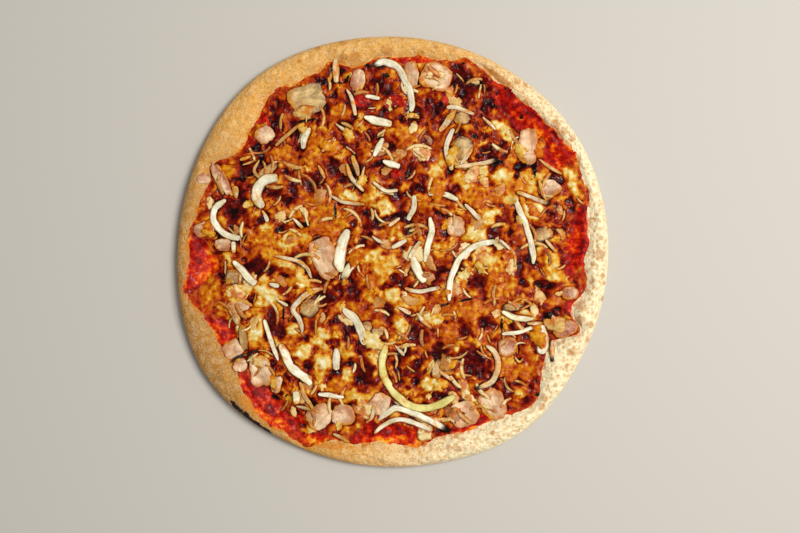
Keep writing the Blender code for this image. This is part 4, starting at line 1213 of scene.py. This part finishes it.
def sliceMaterial(kind, fibreScale):
    # pale, middle and deep flesh, and the colour of the browned edge
    pale, mid, deep, edgeColour = [linear(*shade) for shade in sliceShades[kind]]
    material, tree, shader, coords = newMaterial("cooked" + kind.title())
    fibre = fibres(tree, 0.2, fibreScale)
    patchy = placeGroup(mottle, coords, 160.0, 700.0, 0.45)[0]
    tone, slope = mark(tree, "tone"), mark(tree, "slope")
    base = blend(spread(tone, 0.0, 0.55), pale, mid)
    base = blend(spread(tone, 0.5, 1.0), base, deep)
    # paler in patches and towards one side, darker towards the other: the patches are the slice's own tone,
    # the sides painted light and painted shade
    base = blend(spread(plus(patchy, times(slope, 0.6)), 0.1, 1.2, 0.0, 0.9), base, pale)
    shaded = spread(plus(slope, times(fibre, 0.5)), 0.2, -0.55, 0.0, 0.6)
    base = blend(shaded, base, linear(*sliceShades["shade"]), "MULTIPLY")
    base = blend(spread(fibre, 0.45, 0.68, 0.0, 0.4), base, edgeColour, "MULTIPLY")
    # painted shade: darker along the fold creases
    base = blend(times(mark(tree, "crease"), 0.3), base, deep, "MULTIPLY")
    edge = times(spread(mark(tree, "edge"), 0.5, 1.0), mark(tree, "browned"))
    base = blend(times(ragged(coords, edge, 420.0, 0.7, 0.35), 0.9), base, edgeColour)
    cover = ragged(coords, times(mark(tree, "film"), 0.8), 260.0, 0.75, 0.25)
    base = filmOver(base, coords, cover, 0.30)
    finishShader(shader, base, 0.45, 0.35, fibre, (0.4, 0.0005), (0.1, (1.0, 0.5, 0.3)))
    return material


print("stage 4: ham and mushroom slices")
sliceKinds = (
    ("mushroom", mushroomSlices, looseMushrooms, sliceMaterial("mushroom", 800.0)),
    ("ham", hamSlices, looseHam, sliceMaterial("ham", 500.0)))
seed = 300
for kind, slices, _, material in sliceKinds:
    for node, shape in slices.items():
        seed += 1
        meshPiece(pieceName(node), *sliceMesh(shape, sliceShape[kind], seed), material, kind, node)
for kind, _, slices, material in sliceKinds:
    parts = []
    for shape in slices:
        seed += 1
        parts.append(sliceMesh(shape, sliceShape[kind], seed))
    meshPiece(kind + "Scraps", *joinParts(parts), material, kind)


# Small pieces that repeat are scattered with Geometry Nodes and draped on what lies there
def shapeObject(name, points, faces, marks):
    mesh = newMesh(name, points, faces, marks)
    outward = bmesh.new()
    outward.from_mesh(mesh)
    bmesh.ops.recalc_face_normals(outward, faces=outward.faces)
    outward.to_mesh(mesh)
    outward.free()
    return bpy.data.objects.new(name, mesh)


def bentStrip(name, lengthMm, widthMm, bend, thickMm, stations=9):
    # a curved sliver of a few dozen faces; its attributes say where across and along a point is
    share = np.linspace(0, 1, stations)
    turn = np.radians(bend) * (share - 0.5)
    stepLength = 0.001 * lengthMm / (stations - 1)
    x, y = [np.concatenate([[0], np.cumsum(stepLength * part(turn[:-1]))]) for part in (np.cos, np.sin)]
    half = 0.0005 * widthMm * np.clip(np.sin(np.pi * np.clip(share, 0.06, 0.94)) ** 0.3, 0.15, 1)
    across = np.array([-1.0, -0.35, 0.35, 1.0, 0.0])
    lift = np.array([0.25, 1.0, 1.0, 0.25, -0.5]) * thickMm * 0.001
    px = (x - x.mean())[:, None] - (np.sin(turn) * half)[:, None] * across
    py = (y - y.mean())[:, None] + (np.cos(turn) * half)[:, None] * across
    points = listed(px, py, lift)
    faces = [face[::-1] for face in ringFaces(stations, 5)]
    faces += [tuple(range(5)), tuple(range(stations * 5 - 5, stations * 5))[::-1]]
    marks = {"rim": np.tile(np.abs(across), stations), "along": np.repeat(share, 5)}
    return shapeObject(name, points, faces, marks)


def roundLeaf(name, sizeMm, thickMm, seed, around=12, rings=3, stretch=1.0):
    # an uneven flake with a domed top and an underside that can follow the ground as well
    angle = np.arange(around) * 2 * np.pi / around
    unitX, unitY = np.cos(angle), np.sin(angle)
    reach = 0.0005 * sizeMm * (1 + wave("leafBroad", unitX + seed, unitY))
    reach *= 1 + wave("leafFine", unitX, unitY + seed)
    reach /= np.sqrt(unitX ** 2 / stretch + unitY ** 2 * stretch)
    rim = [ring / rings for ring in (*range(1, rings + 1), *range(rings - 1, 0, -1))]
    up = [0.001 * thickMm * (1 - 0.9 * part ** 2.5) for part in rim[:rings]] + [-0.0010] * (rings - 1)
    points = [[[0, 0, 0.001 * thickMm]]]
    for part, height in zip(rim, up):
        points.append(listed(part * reach * unitX, part * reach * unitY, height))
    points = np.concatenate([*points, [[0, 0, -0.0010]]])
    tip = len(points) - 1
    faces = ringFaces(len(rim), around, 1) + fan(0, 1, around) + fan(tip, tip - around, around, True)
    marks = {"rim": [0.0, *np.repeat(rim, around), 0.0], "along": np.zeros(tip + 1)}
    return shapeObject(name, points, faces, marks)


def leaves(name, sizes, thickMm, seed, around, rings):
    # one leaf for each (size in mm, stretch)
    return [
        roundLeaf(f"{name}{n}", size, thickMm, seed + n, around, rings, stretch)
        for n, (size, stretch) in enumerate(sizes)]


def scatterTree():
    # points on the ground, a shape on each, dropped straight down on to the ground again
    tree = bpy.data.node_groups.new("scatterPieces", "GeometryNodeTree")
    sockets = {"Geometry": "Geometry", "Shapes": "Collection", "Amount": "Float", "Seed": "Int",
               "Smallest": "Float", "Largest": "Float", "Sink": "Float", "Material": "Material"}
    for label, kind in sockets.items():
        tree.interface.new_socket(label, in_out="INPUT", socket_type="NodeSocket" + kind)
    tree.interface.new_socket("Geometry", in_out="OUTPUT", socket_type="NodeSocketGeometry")
    given = tree.nodes.new("NodeGroupInput").outputs
    ground, seed = given["Geometry"], given["Seed"]

    def made(kind, inputs=(), output=0, **settings):
        return addNode(tree, kind, inputs, **settings).outputs[output]

    def atHeight(height):
        # each point's own place, at another height
        place = addNode(tree, "ShaderNodeSeparateXYZ", {0: made("GeometryNodeInputPosition")}).outputs
        return made("ShaderNodeCombineXYZ", {"X": place["X"], "Y": place["Y"], "Z": height})

    room = made("GeometryNodeInputNamedAttribute", {"Name": "room"}, "Attribute", data_type="FLOAT")
    amount = {"Mesh": ground, "Density": times(room, given["Amount"]), "Seed": seed}
    points = made("GeometryNodeDistributePointsOnFaces", amount, "Points")
    points = made("GeometryNodeSetPosition", {"Geometry": points, "Position": atHeight(0.0)})
    holder = {"Separate Children": True, "Reset Children": True, "Collection": given["Shapes"]}
    shapes = made("GeometryNodeCollectionInfo", holder)
    turn = made("FunctionNodeRandomValue", {3: 2 * math.pi, "Seed": seed}, 1, data_type="FLOAT")
    sizes = {2: given["Smallest"], 3: given["Largest"], "Seed": seed}
    size = made("FunctionNodeRandomValue", sizes, 1, data_type="FLOAT")
    pieces = made("GeometryNodeInstanceOnPoints", {
        "Points": points, "Pick Instance": True, "Instance": shapes, "Scale": size,
        "Rotation": made("ShaderNodeCombineXYZ", {"Z": turn})})
    number = made("FunctionNodeRandomValue", (), 1, data_type="FLOAT")
    own = {"Geometry": pieces, "Name": "own", "Value": number}
    stored = made("GeometryNodeStoreNamedAttribute", own, data_type="FLOAT", domain="INSTANCE")
    real = made("GeometryNodeRealizeInstances", {"Geometry": stored})
    ray = {"Target Geometry": ground, "Source Position": atHeight(1.0), "Ray Direction": (0, 0, -1),
           "Ray Length": 2.0}
    found = made("ShaderNodeSeparateXYZ", {0: made("GeometryNodeRaycast", ray, "Hit Position")}, "Z")
    shift = made("ShaderNodeCombineXYZ", {"Z": minus(found, given["Sink"])})
    draped = made("GeometryNodeSetPosition", {"Geometry": real, "Offset": shift})
    painted = made("GeometryNodeSetMaterial", {"Geometry": draped, "Material": given["Material"]})
    feed(tree, tree.nodes.new("NodeGroupOutput").inputs["Geometry"], painted)
    return tree


def groundObject(room, smoothing):
    # the heights so far as a mesh to scatter on, with how much is wanted where
    x, y, z, wanted = [grid[::2, ::2] for grid in (gridX, gridY, blurred(heights.copy(), smoothing), room)]
    _, faces = gridFaces(len(z))
    return addObject("ground", newMesh("ground", listed(x, y, z), faces, {"room": wanted}))


pieceTree = scatterTree()


def scatter(name, shapes, amount, seed, sizes, sink, material, room, smoothing, stack=True, bakes=None):
    # amount is pieces in a square metre; stack lets later pieces lie on these; bakes is their tone as cheese
    holder = bpy.data.collections.new(name + "Shapes")
    for shape in shapes:
        holder.objects.link(shape)
    ground = groundObject(room, smoothing)
    modifier = ground.modifiers.new("scatter", "NODES")
    modifier.node_group = pieceTree
    values = {"Shapes": holder, "Amount": amount, "Seed": seed, "Smallest": sizes[0], "Largest": sizes[1],
              "Sink": sink, "Material": material}
    for item in pieceTree.interface.items_tree:
        if item.in_out == "INPUT" and item.name in values:
            modifier[item.identifier] = values[item.name]
    ground.update_tag()
    mesh = bpy.data.meshes.new_from_object(ground.evaluated_get(bpy.context.evaluated_depsgraph_get()))
    mesh.name = name
    ground.modifiers.remove(modifier)
    for used in (ground, *shapes):
        bpy.data.objects.remove(used)
    bpy.data.collections.remove(holder)
    count = len(mesh.vertices)
    places = np.empty(count * 3, dtype=np.float32)
    mesh.vertices.foreach_get("co", places)
    places = places.reshape(-1, 3)
    places[:, 2] = np.minimum(places[:, 2], highest - 0.0003)
    mesh.vertices.foreach_set("co", places.ravel())
    mesh.update()
    if stack:
        layOnTop(*places.T)
    if bakes:
        own, rim = readAttribute(mesh, "own"), readAttribute(mesh, "rim")
        writeAttribute(mesh, "bake", bakes[0] + bakes[1] * own + bakes[2] * rim ** 3)
        for label in ("tomato", "warmth", "char"):
            writeAttribute(mesh, label, np.zeros(count))
    ridingPiece(name, mesh)
    print(name, len(mesh.polygons), "faces")


scrapShades = (
    (0.0, (230, 214, 162)), (0.3, (212, 174, 100)), (0.55, (184, 122, 50)), (0.8, (130, 64, 18)),
    (1.0, (62, 22, 9)))
charShades = ((0.0, (96, 34, 12)), (0.4, (48, 18, 10)), (0.7, (24, 11, 9)), (1.0, (16, 9, 8)))


def scrapMaterial(name, shades, roughness, filmed=True):
    # thin cooked scraps, each with its own tone, darker along the edge
    material, tree, shader, coords = newMaterial(name)
    value = plus(mark(tree, "own"), swing(grain(coords, 420.0), 0.9))
    value = maths("MULTIPLY", plus(value, spread(mark(tree, "rim"), 0.7, 1.0, 0.0, 0.35)), 0.74, True)
    base = shadeRamp(value, shades)
    if filmed:
        base = filmOver(base, coords, spread(grain(coords, 130.0, 4.0), 0.50, 0.56), 0.36)
    finishShader(shader, base, roughness, 0.4, grain(coords, 1200.0), (0.3, 0.0004))
    return material


def roomFor(kind):
    # how much of a kind there is room for, from 0 to 1, all over the ground
    angle, radius = polarOf(gridX, gridY)
    marks = bedMarks(gridX, gridY)
    inside = smoothStep(cheeseEdge(angle) - radius, -0.001, 0.003)
    if kind == "slivers":
        return inside * (0.35 + 0.65 * smoothStep(marks["bake"], 0.15, 0.5)) * (1 - 0.8 * marks["tomato"])
    if kind == "flecks":
        free = 1 - smoothStep(blurred(covered.copy(), 2), 0.02, 0.15)
        return inside * free * (0.3 + 0.7 * smoothStep(marks["bake"], 0.35, 0.7))
    return inside


# Sizes in mm of the scattered shapes: (size, stretch) of the leaves, (length, width, bend) of the slivers
scattered = {
    "leaf": ((9.0, 1.6), (11.0, 2.0), (13.0, 1.3), (10.0, 2.6), (12.0, 1.7)),
    "sliver": ((11, 2.8, 40), (14, 3.2, 60), (9, 2.4, -30), (17, 2.6, -80), (12, 3.6, 45), (10, 2.0, 10)),
    "drip": ((9.0, 1.5), (12.0, 2.2), (14.0, 1.6), (8.0, 1.2)),
    "fleck": ((1.3, 1.0), (2.0, 1.0), (2.6, 1.0)),
}

print("stage 5: onion strips and scattered slivers")
onionFinish = onionMaterial()
scrapFinish = scrapMaterial("cookedScraps", scrapShades, 0.42)
shapes = leaves("leaf", scattered["leaf"], 0.8, 11, 22, 4)
scatter("tanLeaves", shapes, 1900, 5, (0.55, 1.25), 0.0005, scrapFinish, roomFor("slivers"), 8)
shapes = [bentStrip(f"sliver{n}", *size, 0.6) for n, size in enumerate(scattered["sliver"])]
scatter("tanSlivers", shapes, 4300, 21, (0.55, 1.25), 0.0003, scrapFinish, roomFor("slivers"), 6)
parts = [stripMesh(strip, 500 + number) for number, strip in enumerate(looseOnions)]
meshPiece("onionScraps", *joinParts(parts), onionFinish, "onion")
for number, (node, strip) in enumerate(onionStrips.items()):
    meshPiece(pieceName(node), *stripMesh(strip, 400 + number), onionFinish, "onion", node)

print("stage 6: cheese and char flecks")
buildCheese(bed)
shapes = leaves("drip", scattered["drip"], 0.6, 71, 26, 4)
scatter("cheeseDrips", shapes, 800, 57, (0.5, 1.15), 0.0003, bed, roomFor("cheese"), 3, True,
        (0.10, 0.26, 0.12))
shapes = leaves("fleck", scattered["fleck"], 0.5, 31, 7, 2)
charFinish = scrapMaterial("charFlecks", charShades, 0.35, False)
room = roomFor("flecks")
scatter("charFlecks", shapes, 4200, 43, (0.25, 0.7), 0.0001, charFinish, room, 1, False)
